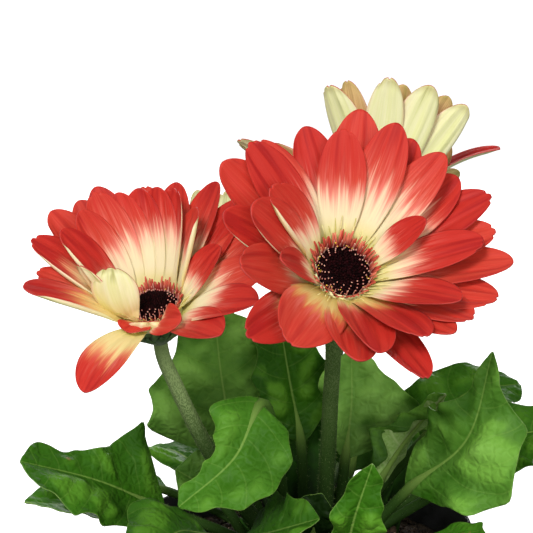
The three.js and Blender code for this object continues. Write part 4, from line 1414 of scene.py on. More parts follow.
def rolled_edge(side, up, depth, edge, amount):
    """Rolls the part of the blade left of its edge up and inwards. depth is its thickness."""
    beyond = np.maximum(0, -side - edge)
    bend = np.maximum(amount, 1e-3) * EDGE_ROLL / max(beyond.max(), 0.1)
    angle = beyond * bend
    side = np.where(beyond > 0, -edge - np.sin(angle) / bend, side)
    up = np.where(beyond > 0, up + (1 - np.cos(angle)) / bend, up)
    return side + depth * np.sin(angle), up + depth * np.cos(angle)


def lay_petal(petal, blank, matrix, rolled, seed, n):
    """A copy of a blank along the petal's line, cupped, rippled and with one edge rolled."""
    x, t, z = vertices(blank).T
    half = petal["width"] / 2
    shape = np.maximum(petal_shape(np.clip(t, 0, 1)), 0.05)
    lift = petal.get("cup", 0) * half * x * x / shape
    ripple = 0.35 * draw(seed, n + 500) * np.sin(7 * t + 5 * draw(seed, n + 510)) * x * abs(x)
    amount = abs(rolled) * smoothstep(0.05, 0.35, t) * (1 - smoothstep(0.85, 1, t))
    facing = -1 if rolled < 0 else 1
    edge = EDGE_SHARE * half * shape
    side, up = rolled_edge(facing * x * half, lift + ripple, z, edge, amount)
    side = facing * side
    rail = petal_rail(petal)
    copy = copied(blank)
    moved(copy, carried(matrix, rail.lay(PETAL_REACH * np.clip(t, 0, 1), side, up)))
    return copy


# %% Rays on their pad
PAD_OUTLINE = [(1, 0), (8.8, 0), (9.6, 0.8), (9.8, 3.6), (9.3, 4.8), (8.6, 5.2), (1, 5.2)]
PAD_SIDES = 40


def make_petals(bloom, matrix):
    """All rays of a bloom and the pad that they grow from, as one piece."""
    seed = bloom["seed"]
    pieces = []
    for n, petal in enumerate(all_petals(bloom)):
        blank = PETAL_BLANKS[max(0, int(2.5 * draw(seed, n + 600) + 0.5))]
        piece = lay_petal(petal, blank, matrix, stated(ROLLED, bloom, petal, 0), seed, n)
        noted(piece, **colouring(bloom, petal, n))
        pieces.append(piece)
    pad = turned("pad", PAD_OUTLINE, PAD_SIDES, PETAL_FINISHES[1])
    moved(pad, carried(matrix, vertices(pad) / MM))
    noted(pad, own=0, start=0.5, warm=0, gold=0)
    pieces.append(pad)
    return joined(part_name(bloom, "rays"), pieces)


for bloom in BLOOMS:
    finished(make_petals(bloom, bloom["matrix"]), bloom["name"] + "_petals")

# %% [markdown]
# ## The disc
#
# The eye of a gerbera is hundreds of tiny florets, set like a sunflower's: each is a golden
# angle further round than the last. Those in the middle are closed dark buds. Those near the
# edge are open and end in a pale pink tip. Round them stand short strap-like florets, red and
# pink, then thin cream and yellow green threads, and a few grains of pollen.

# %% Florets of the disc
FLORETS = 250
GOLDEN_ANGLE = math.pi * (3 - math.sqrt(5))
DISC_RADIUS = 8.0
OPEN_FROM = 5.3  # radius beyond which florets are open
CUSHION_SIDES = 36
CUSHION_FOOT = 5.25
CUSHION_EDGE = 5.4  # height of its upper face at the edge
CUSHION_RISE = 2.3  # how much higher it is further in
DIMPLE_DEPTH = 1.1  # of the hollow in the middle
DIMPLE_RADIUS = 2.6


def disc_height(radius):
    """Height of the cushion that the florets stand on."""
    share = radius / DISC_RADIUS
    dimple = DIMPLE_DEPTH * math.exp(-((radius / DIMPLE_RADIUS) ** 2))
    return CUSHION_EDGE + CUSHION_RISE * (1 - share**3) - dimple


def make_cushion(matrix):
    outline = [(0.6, CUSHION_FOOT), (DISC_RADIUS + 0.5, CUSHION_FOOT), (DISC_RADIUS + 0.6, 5.6)]
    outline += [(r, disc_height(r)) for r in (7.6, 6.6, 5.2, 3.8, 2.6, 1.6, 0.6)]
    cushion = turned("cushion", outline, CUSHION_SIDES, DISC_SKIN)
    moved(cushion, carried(matrix, vertices(cushion) / MM))
    return cushion


def make_disc(bloom, matrix):
    """The cushion of dark florets, and the pale tips of the open ones."""
    seed = bloom["seed"]
    buds, tips = [], []
    for i in range(FLORETS):
        radius = DISC_RADIUS * math.sqrt((i + 0.5) / FLORETS)
        angle = i * GOLDEN_ANGLE
        lean = np.array((math.cos(angle), math.sin(angle), 0)) * (radius / DISC_RADIUS) ** 2 * 0.7
        lean = lean + np.array((0.06 * draw(seed, i), 0.06 * draw(seed, i + 300), 1))
        lean /= np.linalg.norm(lean)
        foot = np.array((radius * math.cos(angle), radius * math.sin(angle), disc_height(radius)))
        opened = radius > OPEN_FROM and i % 2 == 0
        width = 0.40 if opened else 0.44
        tall = 1.05 + 0.25 * draw(seed, i + 1200) if opened else 0.75
        buds.append(matrix @ pointing(foot, lean, i, (width, width, tall)))
        if opened:
            tip = foot + lean * (tall + 0.1)
            tips.append(matrix @ pointing(tip, lean, i, (0.23, 0.23, 0.28)))
    florets = scattered("florets", BUD_BLANK, DISC_SKIN, buds, np.zeros(len(buds)))
    disc = joined(part_name(bloom, "disc"), [make_cushion(matrix), florets])
    finished(disc, bloom["name"] + "_disc")
    pale = scattered(part_name(bloom, "tips"), BUD_BLANK, TIP_SKIN, tips, np.zeros(len(tips)))
    only(pale)
    bpy.ops.object.shade_smooth()
    finished(pale)


for bloom in BLOOMS:
    make_disc(bloom, bloom["matrix"])

# %% Straps, threads, stamens and pollen
STRAPS = 84
POLLEN_GRAINS = 22
FRINGE_FOOT = 4.6  # height at which straps, threads and stamens start
# Of the thin pieces: how many, their length and its spread, their pitch at foot and tip, the
# radius of their circle and its spread, and their thickness.
FRINGE = {
    "threads": (44, (8.0, 2.4), (62, 34), (9.3, 0.4), 0.22),
    "stamens": (30, (3.8, 1.2), (92, 84), (8.7, 0.3), 0.24),
}


def lay_strip(blank, petal, matrix):
    """A small blade laid along a petal's kind of line."""
    x, t, z = vertices(blank).T
    copy = copied(blank)
    moved(copy, carried(matrix, petal_rail(petal, 12).lay(t, x * petal["width"] / 2, z)))
    return copy


def lay_thread(petal, radius, matrix):
    """A thin tapering thread laid along a petal's kind of line."""
    x, y, t = vertices(THREAD_BLANK).T
    thickness = radius * (1 - 0.5 * t)
    copy = copied(THREAD_BLANK)
    moved(copy, carried(matrix, petal_rail(petal, 12).lay(t, x * thickness, -y * thickness)))
    return copy


def make_fringe(bloom, matrix):
    """The short florets round the disc."""
    seed = bloom["seed"]
    straps = []
    for i in range(STRAPS):
        a, b, c, d = [draw(seed + k, i + 40) for k in range(4)]
        strap = {
            "clock": 360 * (i + 0.4 * a) / STRAPS,
            "length": 4.0 + 1.6 * b + 1.7 * math.cos(2 * math.pi * i / STRAPS),
            "width": 0.95 + 0.3 * c,
            "pitch": (78, 50 + 22 * d),
            "radius": 8.6 + 0.5 * c,
            "height": FRINGE_FOOT,
            "turn": 14 * b,
            "roll": 20 * a,
        }
        piece = lay_strip(STRAP_BLANK, strap, matrix)
        noted(piece, own=a)
        straps.append(piece)
    finished(joined(part_name(bloom, "straps"), straps))


def make_thin_pieces(bloom, kind, skin, matrix):
    """Thin threads that stand between the straps and the petals, or stamens round the disc."""
    seed = bloom["seed"]
    count, lengths, pitches, radii, thickness = FRINGE[kind]
    pieces = []
    for i in range(count):
        a, b, c, d = [draw(seed + k, i + 90 + 100 * len(kind)) for k in range(4)]
        line = {
            "clock": 360 * (i + 0.5 * a) / count,
            "length": lengths[0] + lengths[1] * b,
            "pitch": (pitches[0], pitches[1] + 14 * c),
            "radius": radii[0] + radii[1] * d,
            "height": FRINGE_FOOT,
            "turn": 10 * d,
        }
        piece = lay_thread(line, thickness * (1 + 0.2 * c), matrix)
        piece.data.materials.append(skin)
        pieces.append(piece)
    finished(joined(part_name(bloom, kind), pieces))


def make_pollen(bloom, matrix):
    seed = bloom["seed"]
    grains = []
    for i in range(POLLEN_GRAINS):
        a, b, c = [draw(seed + k, i + 150) for k in range(3)]
        angle = math.pi * a
        radius = 8.3 + 0.9 * b
        place = (radius * math.cos(angle), radius * math.sin(angle), 6.9 + 0.8 * c)
        size = 0.24 + 0.08 * b
        grains.append(matrix @ pointing(place, (0, 0, 1), i, (size, size, size)))
    name = part_name(bloom, "pollen")
    finished(scattered(name, GRAIN_BLANK, POLLEN_SKIN, grains, np.zeros(len(grains))))


for bloom in BLOOMS:
    make_fringe(bloom, bloom["matrix"])
    make_thin_pieces(bloom, "threads", THREAD_SKIN, bloom["matrix"])
    make_thin_pieces(bloom, "stamens", TIP_SKIN, bloom["matrix"])
    make_pollen(bloom, bloom["matrix"])

# %% [markdown]
# ## Stalks and bracts
#
# A gerbera's bloom stands on one bare stalk, as thick as a pencil core, grey green and covered
# in down. Under the bloom it widens into a cup of pointed green bracts in two rows. The stalk
# is a copy of the stem blank laid along its curve. The bracts are copies of one small blade.

# %% Stalks
CUP_DEPTH = 7.6
STALK_FLARE = 0.5  # how much wider the stalk is where it leaves the soil
HOLE_BOTTOM = 81.3  # where stems end in the soil
STEM_CLEAR = 96  # where they start to lean


def out_of_soil(x, y):
    """A stem stands upright in its hole until it is clear of the soil."""
    return [(x, y, lerp(HOLE_BOTTOM, STEM_CLEAR, share)) for share in (0, 0.6, 1)]


def stalk_rail(bloom):
    matrix = bloom["matrix"]
    depths = (CUP_DEPTH + 9, CUP_DEPTH + 0.5)
    on_axis = [carried(matrix, np.array((0.0, 0.0, -depth))) / MM for depth in depths]
    points = [*out_of_soil(*bloom["root"]), *bloom["route"], *on_axis]
    return Rail(spline(points), lambda share: np.tile((0.0, -1.0, 0.3), (len(share), 1)))


def stalk_radius(bloom):
    """A function that gives the stalk's radius at a share of its line."""
    thick, thin = bloom["stalk"]
    return lambda share: lerp(thick, thin, share) + STALK_FLARE * (1 - share) ** 6


def lay_stalk(bloom, rail):
    x, y, share = vertices(STEM_BLANK).T
    radius = stalk_radius(bloom)(share)
    stalk = copied(STEM_BLANK)
    moved(stalk, rail.lay(share, x * radius, -y * radius) * MM)
    stalk.data.materials.append(STALK_SKIN)
    noted(stalk, pale=bloom["down_and_light"], blade=0)
    return stalk


# %% Bracts, and stalks with their cups
CUP_SIDES = 28
BRACTS_IN_ROW = 14


def bract_rail(angle, line):
    """A line that hugs the cup, from points of (radius, height), turned to an angle."""
    points = [(r * math.sin(angle), r * math.cos(angle), z) for r, z in line]
    inward = (-math.sin(angle), -math.cos(angle), 0.6)
    return Rail(spline(points, 8), lambda share: np.tile(inward, (len(share), 1)))


def make_bracts(bloom, matrix):
    """The cup under the bloom, and two rows of bracts that hug it."""
    neck = bloom["stalk"][1] / bloom["size"]
    lip = bloom["bract_tip"]
    rows = [  # width, and a line of (radius, height)
        (4.4, [(neck + 0.2, -8.9), (6.2, -5.9), (8.9, -3.6), (lip - 0.2, -1.4), (lip, 0.2)]),
        (4.0, [(neck, -8.2), (6.0, -5.2), (9.3, -2.4), (lip - 0.3, 0.2), (lip - 0.4, 2.4)]),
    ]
    x, t, z = vertices(BRACT_BLANK).T
    pieces = []
    for row, (width, line) in enumerate(rows):
        for i in range(BRACTS_IN_ROW):
            chance = 0.15 * draw(bloom["seed"], i + 50 * row)
            angle = 2 * math.pi * (i + 0.5 * row + chance) / BRACTS_IN_ROW
            rail = bract_rail(angle, line)
            piece = copied(BRACT_BLANK)
            moved(piece, carried(matrix, rail.lay(t, x * width / 2, z + 0.25 * width * x * x - 0.3)))
            pieces.append(piece)
    cup = turned("cup", [
        (0.6, -CUP_DEPTH - 1.5), (neck - 0.1, -CUP_DEPTH - 1.5), (neck + 0.4, -CUP_DEPTH),
        (5.8, -5.2), (8.7, -2.6), (9.6, -0.8), (9.4, 0.0), (0.6, 0.0),
    ], CUP_SIDES, BRACT_SKIN)
    moved(cup, carried(matrix, vertices(cup) / MM))
    return [cup, *pieces]


def make_stalk(bloom):
    rail = stalk_rail(bloom)
    pieces = [lay_stalk(bloom, rail), *make_bracts(bloom, bloom["matrix"])]
    finished(joined(part_name(bloom, "stalk"), pieces), bloom["name"] + "_stalk")
    return rail


for bloom in BLOOMS:
    bloom["rail"] = make_stalk(bloom)

# %% [markdown]
# ## The leaves' measures
#
# A gerbera's leaves are long and lobed: their margin runs in wide hollow curves from one small
# point to the next. A leaf is given by the hole its stem stands in, by three points of its
# midrib, by where its upper face looks at the blade's foot and at its tip, and by its two
# margins: rows of points (share of the blade's length, distance from the midrib). A margin
# that matters less is one of three usual ones, made as wide as `half` says.

# %% The twenty-four leaves
MARGINS = {  # distances here in shares of the blade's half width
    "lobed": [(0.1, 0.6), (0.36, 1), (0.6, 0.84), (0.82, 0.52)],
    "bold": [(0.16, 0.72), (0.46, 1), (0.74, 0.66)],
    "even": [(0.24, 0.9), (0.5, 1), (0.76, 0.72)],
}
LEAVES = [
    {"hole": (-18.4, -8.6), "rib": [(-47, -16, 112), (-67, -31, 126), (-91, -46, 137)],
     "looks": [(-0.1, -0.75, 0.65), (-0.3, -0.6, 0.7)],
     "left": [(0.14, 20.5), (0.47, 18), (0.7, 19), (0.9, 11)],
     "right": [(0.2, 25), (0.64, 9), (0.86, 9.5)]},
    {"hole": (-12.6, 5.2), "rib": [(-23, 9, 124), (-28, 14, 148), (-31, 22, 173)],
     "looks": [(0.1, -0.9, 0.3), (0, -0.9, 0.45)],
     "left": [(0.2, 29.5), (0.46, 26.3), (0.8, 14)], "right": [(0.2, 18), (0.5, 20), (0.82, 15)]},
    {"hole": (-5.4, -12.6), "rib": [(-14, -27, 151), (-23, -39, 136), (-41, -48, 122)],
     "looks": [(0.1, -0.8, 0.5), (0.1, -0.7, 0.7)],
     "left": [(0.12, 13), (0.3, 18), (0.5, 18.5), (0.68, 15), (0.86, 8)],
     "right": [(0.16, 15), (0.4, 10), (0.66, 6), (0.86, 5)]},
    {"hole": (-11.6, -18.4), "rib": [(-30, -38, 109), (-41, -54, 116), (-51, -76, 108)],
     "looks": [(0.2, -0.3, 0.9), (0, -0.4, 0.9)],
     "half": (18, 18), "margins": ("lobed", "bold")},
    {"hole": (0, 6), "rib": [(-1, 9, 128), (-5, 11, 150), (-9, 16, 174)],
     "looks": [(0.25, -0.95, 0.2), (0.2, -0.9, 0.4)],
     "half": (15, 15), "margins": ("even", "even")},
    {"hole": (11.6, 7), "rib": [(14, 4, 124), (16, 4, 142), (16, 7, 162)],
     "looks": [(0.22, -0.9, 0.35), (0.15, -0.9, 0.5)],
     "left": [(0.3, 9), (0.64, 13)], "right": [(0.28, 31), (0.48, 23), (0.68, 15), (0.86, 8)]},
    {"hole": (18.4, -10.4), "rib": [(34, -17, 119), (52, -28, 139), (60, -28, 169)],
     "looks": [(-0.3, -0.8, 0.5), (-0.3, -0.9, 0.2)],
     "left": [(0.16, 11), (0.4, 18), (0.62, 13), (0.8, 4)],
     "right": [(0.12, 12), (0.28, 22), (0.42, 26), (0.64, 18), (0.84, 5)]},
    {"hole": (17, 13.4), "rib": [(42, 18, 127), (57, 29, 140), (78, 38, 142)],
     "looks": [(-0.2, -0.6, 0.7), (0, -0.5, 0.85)],
     "left": [(0.16, 18), (0.4, 16), (0.66, 12), (0.9, 7)],
     "right": [(0.2, 16), (0.46, 20), (0.7, 16), (0.9, 9)]},
    {"hole": (21.4, -1.6), "rib": [(54, 2, 118), (72, 6, 131), (92, 4, 134)],
     "looks": [(0, -0.6, 0.8), (0.1, -0.5, 0.85)],
     "half": (15, 18), "margins": ("even", "bold")},
    {"hole": (6.8, -13), "rib": [(12, -43, 106), (15, -54, 122), (20, -59, 140)],
     "looks": [(0.2, -0.9, 0.4), (0.1, -0.9, 0.3)],
     "left": [(0.2, 7.5), (0.5, 9), (0.76, 6)],
     "right": [(0.16, 7), (0.4, 11), (0.66, 8), (0.84, 5.5)]},
    {"hole": (13.6, -2.2), "rib": [(25, -3, 117), (34, -2, 132), (48, -1, 148)],
     "looks": [(-0.3, 0.9, 0.25), (-0.2, 0.9, 0.3)],
     "left": [(0.3, 5), (0.7, 4)], "right": [(0.14, 8), (0.32, 14), (0.6, 7.5), (0.86, 5)]},
    {"hole": (-1, -15.6), "rib": [(-22, -35, 107), (-11, -47, 114), (4, -55, 121)],
     "looks": [(0.1, -0.6, 0.8), (0, -0.6, 0.8)],
     "half": (16, 13), "margins": ("lobed", "bold")},
    {"hole": (-20.8, 3.6), "rib": [(-28, 4, 108), (-35, 5, 114), (-44, 4, 120)],
     "looks": [(0, -0.75, 0.65), (-0.2, -0.7, 0.7)],
     "half": (13, 14), "margins": ("bold", "even")},
    {"hole": (12, -17.6), "rib": [(31, -45, 109), (44, -66, 115), (56, -84, 108)],
     "looks": [(0, -0.3, 0.9), (0, -0.4, 0.9)],
     "half": (15, 15), "margins": ("bold", "even")},
    {"hole": (20.6, 6.2), "rib": [(42, 14, 109), (56, 20, 111), (72, 27, 105)],
     "looks": [(0, -0.2, 1), (0, -0.2, 1)],
     "half": (14, 14), "margins": ("even", "even")},
    {"hole": (10, 19), "rib": [(17, 31, 112), (24, 42, 128), (30, 54, 138)],
     "looks": [(-0.1, -0.7, 0.7), (0, -0.5, 0.9)],
     "half": (19, 18), "margins": ("lobed", "bold")},
    {"hole": (-3, 21.4), "rib": [(-5, 33, 112), (-8, 44, 130), (-10, 56, 142)],
     "looks": [(0, -0.7, 0.7), (0, -0.5, 0.9)],
     "half": (19, 17), "margins": ("bold", "lobed")},
    {"hole": (-16.4, 13.8), "rib": [(-33, 34, 108), (-48, 51, 114), (-63, 67, 106)],
     "looks": [(0, -0.2, 1), (-0.1, 0.1, 1)],
     "half": (16, 16), "margins": ("lobed", "lobed")},
    {"hole": (-21.4, -2.6), "rib": [(-48, -12, 108), (-70, -24, 115), (-91, -37, 121)],
     "looks": [(0, -0.2, 1), (-0.2, -0.3, 1)],
     "half": (12, 12), "margins": ("bold", "even")},
    {"hole": (14, 21), "rib": [(38, 48, 109), (53, 65, 113), (68, 80, 101)],
     "looks": [(0, 0, 1), (0.2, 0.2, 1)],
     "half": (17, 17), "margins": ("bold", "lobed")},
    {"hole": (4, 24), "rib": [(14, 49, 108), (20, 71, 111), (26, 91, 99)],
     "looks": [(0, 0, 1), (0, 0.2, 1)],
     "half": (16, 16), "margins": ("lobed", "even")},
    {"hole": (-10, 20.6), "rib": [(-18, 50, 107), (-26, 73, 108), (-36, 91, 96)],
     "looks": [(0, 0, 1), (0, 0.2, 1)],
     "half": (15, 15), "margins": ("even", "bold")},
    {"hole": (-20, 9.6), "rib": [(-48, 19, 108), (-68, 27, 109), (-86, 34, 100)],
     "looks": [(0, 0, 1), (-0.2, 0.1, 1)],
     "half": (14, 14), "margins": ("bold", "even")},
    {"hole": (3.4, -20.4), "rib": [(2.5, -26, 105), (3, -29.5, 113), (5, -31, 122)],
     "looks": [(0, -0.9, 0.35), (0, -0.9, 0.4)],
     "half": (9, 7.5), "margins": ("even", "bold")},
]
# How much paler each leaf is: partly its own paler green, partly painted light on leaves that stand in
# the light.
PALE_AND_LIT_LEAVES = {6: 1.0, 7: 0.3, 2: 0.65, 3: 0.1, 13: 0.45, 11: 0.2}
# Painted shade on whole leaves that lie in the shadow of others, by leaf number.
SHADED_LEAVES = {24: 0.85, 12: 0.25, 4: 0.35, 1: 0.2}
SCARS = {  # dry brown spots: leaf number, then (share of the length, share to the side, mm)
    9: [(0.8, 0.35, 3.2), (0.86, 0.55, 1.8)],
    14: [(0.45, -0.5, 0.7), (0.5, -0.62, 0.5), (0.38, -0.4, 0.4)],
    1: [(0.7, 0.6, 0.8)],
}
print("leaves:", len(LEAVES))

# %% The margins of the leaves
LEAF_STEM = 1.7  # half width of the leaf stem
LEAF_HOLLOW = 0.16  # depth of the arc between two points, in shares of their distance


def margins_of(leaf):
    """The left and the right margin, from the blade's foot to its tip."""
    rows = [leaf.get("left"), leaf.get("right")]
    for i, row in enumerate(rows):
        if row is None:
            rows[i] = [(v, share * leaf["half"][i]) for v, share in MARGINS[leaf["margins"][i]]]
    return [[(0, LEAF_STEM), *row, (1, 0)] for row in rows]


def margin_at(points, v, length):
    """Distance of the margin from the midrib at a share v of the blade."""
    half = np.zeros_like(v)
    for k, ((v0, h0), (v1, h1)) in enumerate(zip(points, points[1:])):
        s = np.clip((v - v0) / (v1 - v0), 0, 1)
        depth = LEAF_HOLLOW * (v1 - v0) * length if k else 0
        stretch = np.maximum(LEAF_STEM, lerp(h0, h1, s) - 4 * depth * s * (1 - s))
        if k == len(points) - 2:
            stretch = h0 * (1 - s) * (1 + 0.9 * s)
        half = np.where(v >= v0, stretch, half)
    return half


def noise_row(x, y, seed, size):
    """Gentle unevenness of a size, at points in millimetres."""
    return np.array([noise.noise(Vector((a / size, b / size, seed))) for a, b in zip(x, y)])


def blunted(points, v, length):
    """The margin with its points a little rounded, and small chance dents between them."""
    shift = 0.9 / length
    rounded = sum(margin_at(points, v + step, length) for step in (-shift, 0, shift)) / 3
    dents = noise_row(v * length, 0 * v + points[1][1], length, 3.2)
    return rounded + 0.7 * dents * np.minimum(1, 5 * v) * (1 - v)


# %% [markdown]
# ## Leaf blades
#
# A leaf blade is one more grid, thickened, and laid along the midrib. Each of its rows runs a
# little ahead towards the margin, like the side veins do. Every point of the margin falls on a
# row, so the points stay sharp. Between two side veins the blade is puffed up into a cushion,
# which gives gerbera leaves their quilted gloss. One leaf has a strip of its right margin
# folded under. A tapering rib runs below each blade, as the leaf stem's continuation.

# %% The leaf blank and its lines
LEAF_COLUMNS = 36
LEAF_ROWS = 56
LEAF_END = 0.975  # where the last row meets the margin

LEAF_BLANK = blade_blank("leaf_blade", LEAF_COLUMNS, LEAF_ROWS, LEAF_FINISHES)
BLANKS.append(LEAF_BLANK)
print("leaf blank:", len(LEAF_BLANK.data.polygons), "faces")


def leaf_rail(leaf):
    """The leaf's whole centre line, and the share of it at which the blade starts."""
    steps = 40
    line = spline([*out_of_soil(*leaf["hole"]), *leaf["rib"]], steps)
    lengths = np.linalg.norm(np.diff(line, axis=0), axis=1)
    foot = lengths[: 3 * steps].sum() / lengths.sum()
    first, last = np.array(leaf["looks"], float)

    def looks(share):
        v = np.clip((share - foot) / (1 - foot), 0, 1)
        return lerp(first, last, v[:, None])

    return Rail(line, looks), foot


def margin_rows(points, row):
    """Shifts the rows a little so that each point of the margin is on one of them."""
    shares = [min(v, LEAF_END) for v, _ in points]
    rows = [round(v * LEAF_ROWS) / LEAF_ROWS for v, _ in points]
    return np.interp(row, rows, shares)


# %% The relief of a blade and its folded margin
PUFF = 1.4  # height of the cushions between veins
UNEVEN_SIZE = 12  # of the changes from cushion to cushion
CREASE_SIZE = 4.5  # of the smallest creases
MIDRIB_GROOVE = 0.3  # depth of the groove over the midrib
MIDRIB_HALF = 0.9  # half its width
CURLED = {11: 5.5}  # leaf number: width of the strip of its right margin that is folded under
CURL_RADIUS = 0.9
CURL_TURN = 2.6  # radians


def cushions(count, out, half):
    """Height of the blade between its veins, by a number that is whole on each side vein."""
    puff = abs(np.sin(math.pi * count)) ** 0.75
    return puff * smoothstep(0.6, 6, out) * smoothstep(0, 5, half - out)


def blade_relief(index, x, y, count, out, half):
    """Height of the blade's face at x millimetres along it and y to the side."""
    uneven = noise_row(x, y, index, UNEVEN_SIZE)
    puffed = cushions(count, out, half) * (0.6 + 0.9 * uneven)
    groove = MIDRIB_GROOVE * hollow(out, 0, MIDRIB_HALF)
    crease = 2.3 * uneven + 0.8 * noise_row(x, y, index + 50, CREASE_SIZE)
    return PUFF * puffed - groove + crease * smoothstep(0.5, 5, out)


def scars_of(index, v, s, length, half):
    """1 on a dry spot of this leaf and 0 away from it."""
    scar = np.zeros_like(v)
    for scar_v, scar_s, size in SCARS.get(index + 1, []):
        distance = np.hypot((v - scar_v) * length, (s - scar_s) * half)
        scar = np.maximum(scar, 1 - smoothstep(0.6, 1.1, distance / size))
    return scar


def folded_margin(side, up, depth, edge):
    """Folds what lies right of the edge down and back under the blade."""
    beyond = np.maximum(0, side - edge)
    angle = np.minimum(beyond / CURL_RADIUS, CURL_TURN)
    rest = beyond - angle * CURL_RADIUS
    across = edge + CURL_RADIUS * np.sin(angle) + rest * np.cos(angle) + depth * np.sin(angle)
    drop = CURL_RADIUS * (1 - np.cos(angle)) + rest * np.sin(angle) + depth * (1 - np.cos(angle))
    return np.where(beyond > 0, across, side), np.where(beyond > 0, up - drop, up)


# %% Laying the leaves
LEAF_FOLD = math.radians(11)  # how far each half of a blade stands up
LEAF_SWEEP = 0.25  # how far ahead the rows run towards the margin
LEAF_WAVE = 0.09  # height of the margin's waves, in shares of its distance from the midrib
LEAF_THICKNESS = 0.6
VEIN_SPACING = 8.5  # millimetres along the midrib
LEAF_REACH = 0.985  # share of the midrib that the blade takes up
RIB_REACH = 0.985  # share of the whole line that stem and rib take up
STEM_FLATNESS = 0.8


def lay_blade(leaf, index, rail, foot):
    """The blade of a leaf, from the foot of its midrib to its tip."""
    s, row, face = vertices(LEAF_BLANK).T
    length = rail.length * (1 - foot)
    margins = margins_of(leaf)
    sides = [margin_rows(points, row) for points in margins]
    at_margin = np.where(s < 0, sides[0], sides[1])
    v = lerp((sides[0] + sides[1]) / 2, at_margin, abs(s))
    left, right = [blunted(points, v, length) for points in margins]
    strip = CURLED.get(index + 1, 0) * smoothstep(0.05, 0.2, v) * (1 - smoothstep(0.85, 1, v))
    half = np.where(s < 0, left, right + strip)
    v = v + (1 - LEAF_END) * (1 - s * s) * row**8
    out = abs(s) * half
    opening = np.minimum(1, 5 * v)
    fold = LEAF_FOLD * opening
    wave = LEAF_WAVE * out * abs(s) * np.sin(7 * math.pi * v + index + np.where(s < 0, 1, 3))
    ahead = LEAF_SWEEP * out * opening * (1 - v)
    run = v * length - ahead * 0.3 - 0.45 * out * abs(s)
    count = run / VEIN_SPACING + np.where(s < 0, 0.5, 0) + 0.3 * draw(index, 5)
    relief = blade_relief(index, v * length, s * half, count, out, half)
    thick = LEAF_THICKNESS * (1 - 0.45 * abs(s)) / 2
    up = out * np.sin(fold) + wave + relief * opening + face * thick
    side = np.sign(s) * out * np.cos(fold)
    if strip.any():
        side, up = folded_margin(side, up, face * thick, (right - 1.5) * np.cos(fold))
    copy = copied(LEAF_BLANK)
    moved(copy, rail.lay(foot + (1 - foot) * LEAF_REACH * v, side, up, ahead) * MM)
    scar = scars_of(index, v, s, length, half)
    # Its paleness, partly painted light, and its painted shade: one number each for the whole leaf.
    pale = PALE_AND_LIT_LEAVES.get(index + 1, 0)
    shade = SHADED_LEAVES.get(index + 1, 0)
    noted(copy, own=draw(index, 40), across=out, inside=half - out, vein=count + 20, scar=scar)
    noted(copy, pale=pale, shade=shade, raised=relief / PUFF)
    return copy


def rib_radius(foot):
    """Half width of the stem below the blade's foot, and of the rib beyond it."""
    def radius(share):
        v = np.clip((share - foot) / (1 - foot), 0, 1)
        return 1.62 * (1 - v) ** 1.2 * (1 - 0.35 * smoothstep(0, 0.2, v)) + 0.22

    return radius


def lay_leaf_stem(rail, foot):
    """The leaf's stem, which sinks below the blade and runs on as its rib."""
    x, y, t = vertices(STEM_BLANK).T
    share = t * RIB_REACH
    radius = rib_radius(foot)(share)
    v = (share - foot) / (1 - foot)
    sink = (0.66 * radius + 0.42) * smoothstep(0.02, 0.45, v)
    stem = copied(STEM_BLANK)
    stem.data.materials.append(STEM_SKIN)
    noted(stem, pale=0.5, blade=smoothstep(-0.12, 0.2, v))
    moved(stem, rail.lay(share, x * radius, -y * radius * STEM_FLATNESS - sink) * MM)
    return stem


def make_leaf(index, leaf):
    rail, foot = leaf_rail(leaf)
    pieces = [lay_blade(leaf, index, rail, foot), lay_leaf_stem(rail, foot)]
    name = f"leaf_{index + 1:02d}"
    finished(joined(f"{name}_blade", pieces), name)
    return rail, foot


for index, leaf in enumerate(LEAVES):
    leaf["rail"], leaf["foot"] = make_leaf(index, leaf)

# %% [markdown]
# ## The crown
#
# In the middle of the rosette stand young leaves that are still folded, with brown scales of
# old ones between them. Without them one could look through between the stems. All are copies
# of one small blade, hollow like a hand, and lean outwards the further out they stand.

# %% Young leaves and scales
CROWN_SPOTS = [  # x, y, height above the soil, half width
    (5, 14.5, 43, 6.5), (-3.6, 15, 30, 6), (31, 19, 27, 7), (24, 15, 22, 5), (-9, 9.5, 26, 5),
    (12, 11.5, 24, 5), (-14, -2, 16, 4),
]
YOUNG_LEAVES = 16
SCALES = 30
CROWN_RADIUS = 19
SHOOT_FOOT = SOIL_TOP - 2
SCALE_DARK = (0.010, 0.006, 0.003)
SCALE_BROWN = (0.055, 0.026, 0.010)


def crown_spots(count, seed, heights, halves):
    """More spots at random round the middle."""
    spots = []
    for i in range(count):
        angle = i * GOLDEN_ANGLE + 0.6 * draw(seed, i)
        radius = CROWN_RADIUS * math.sqrt((i + 0.5) / count)
        height = lerp(*heights, 0.5 + 0.5 * draw(seed, i + 50))
        half = lerp(*halves, 0.5 + 0.5 * draw(seed, i + 90))
        spots.append((radius * math.cos(angle), radius * math.sin(angle), height, half))
    return spots


def shoot_skin(name, low, high):
    finish = Finish(name, {"Specular IOR Level": 0.15})
    place = finish.coordinates()
    _, v = finish.uv()
    patches = finish.noise(place, 350, 3)
    colour = finish.mix(v.between(0.3, 1.0) * 0.7 + patches.between(0.4, 0.7) * 0.3, low, high)
    finish.bump(patches, 0.0002)
    return finish.done(colour, 0.55 + patches * 0.2)


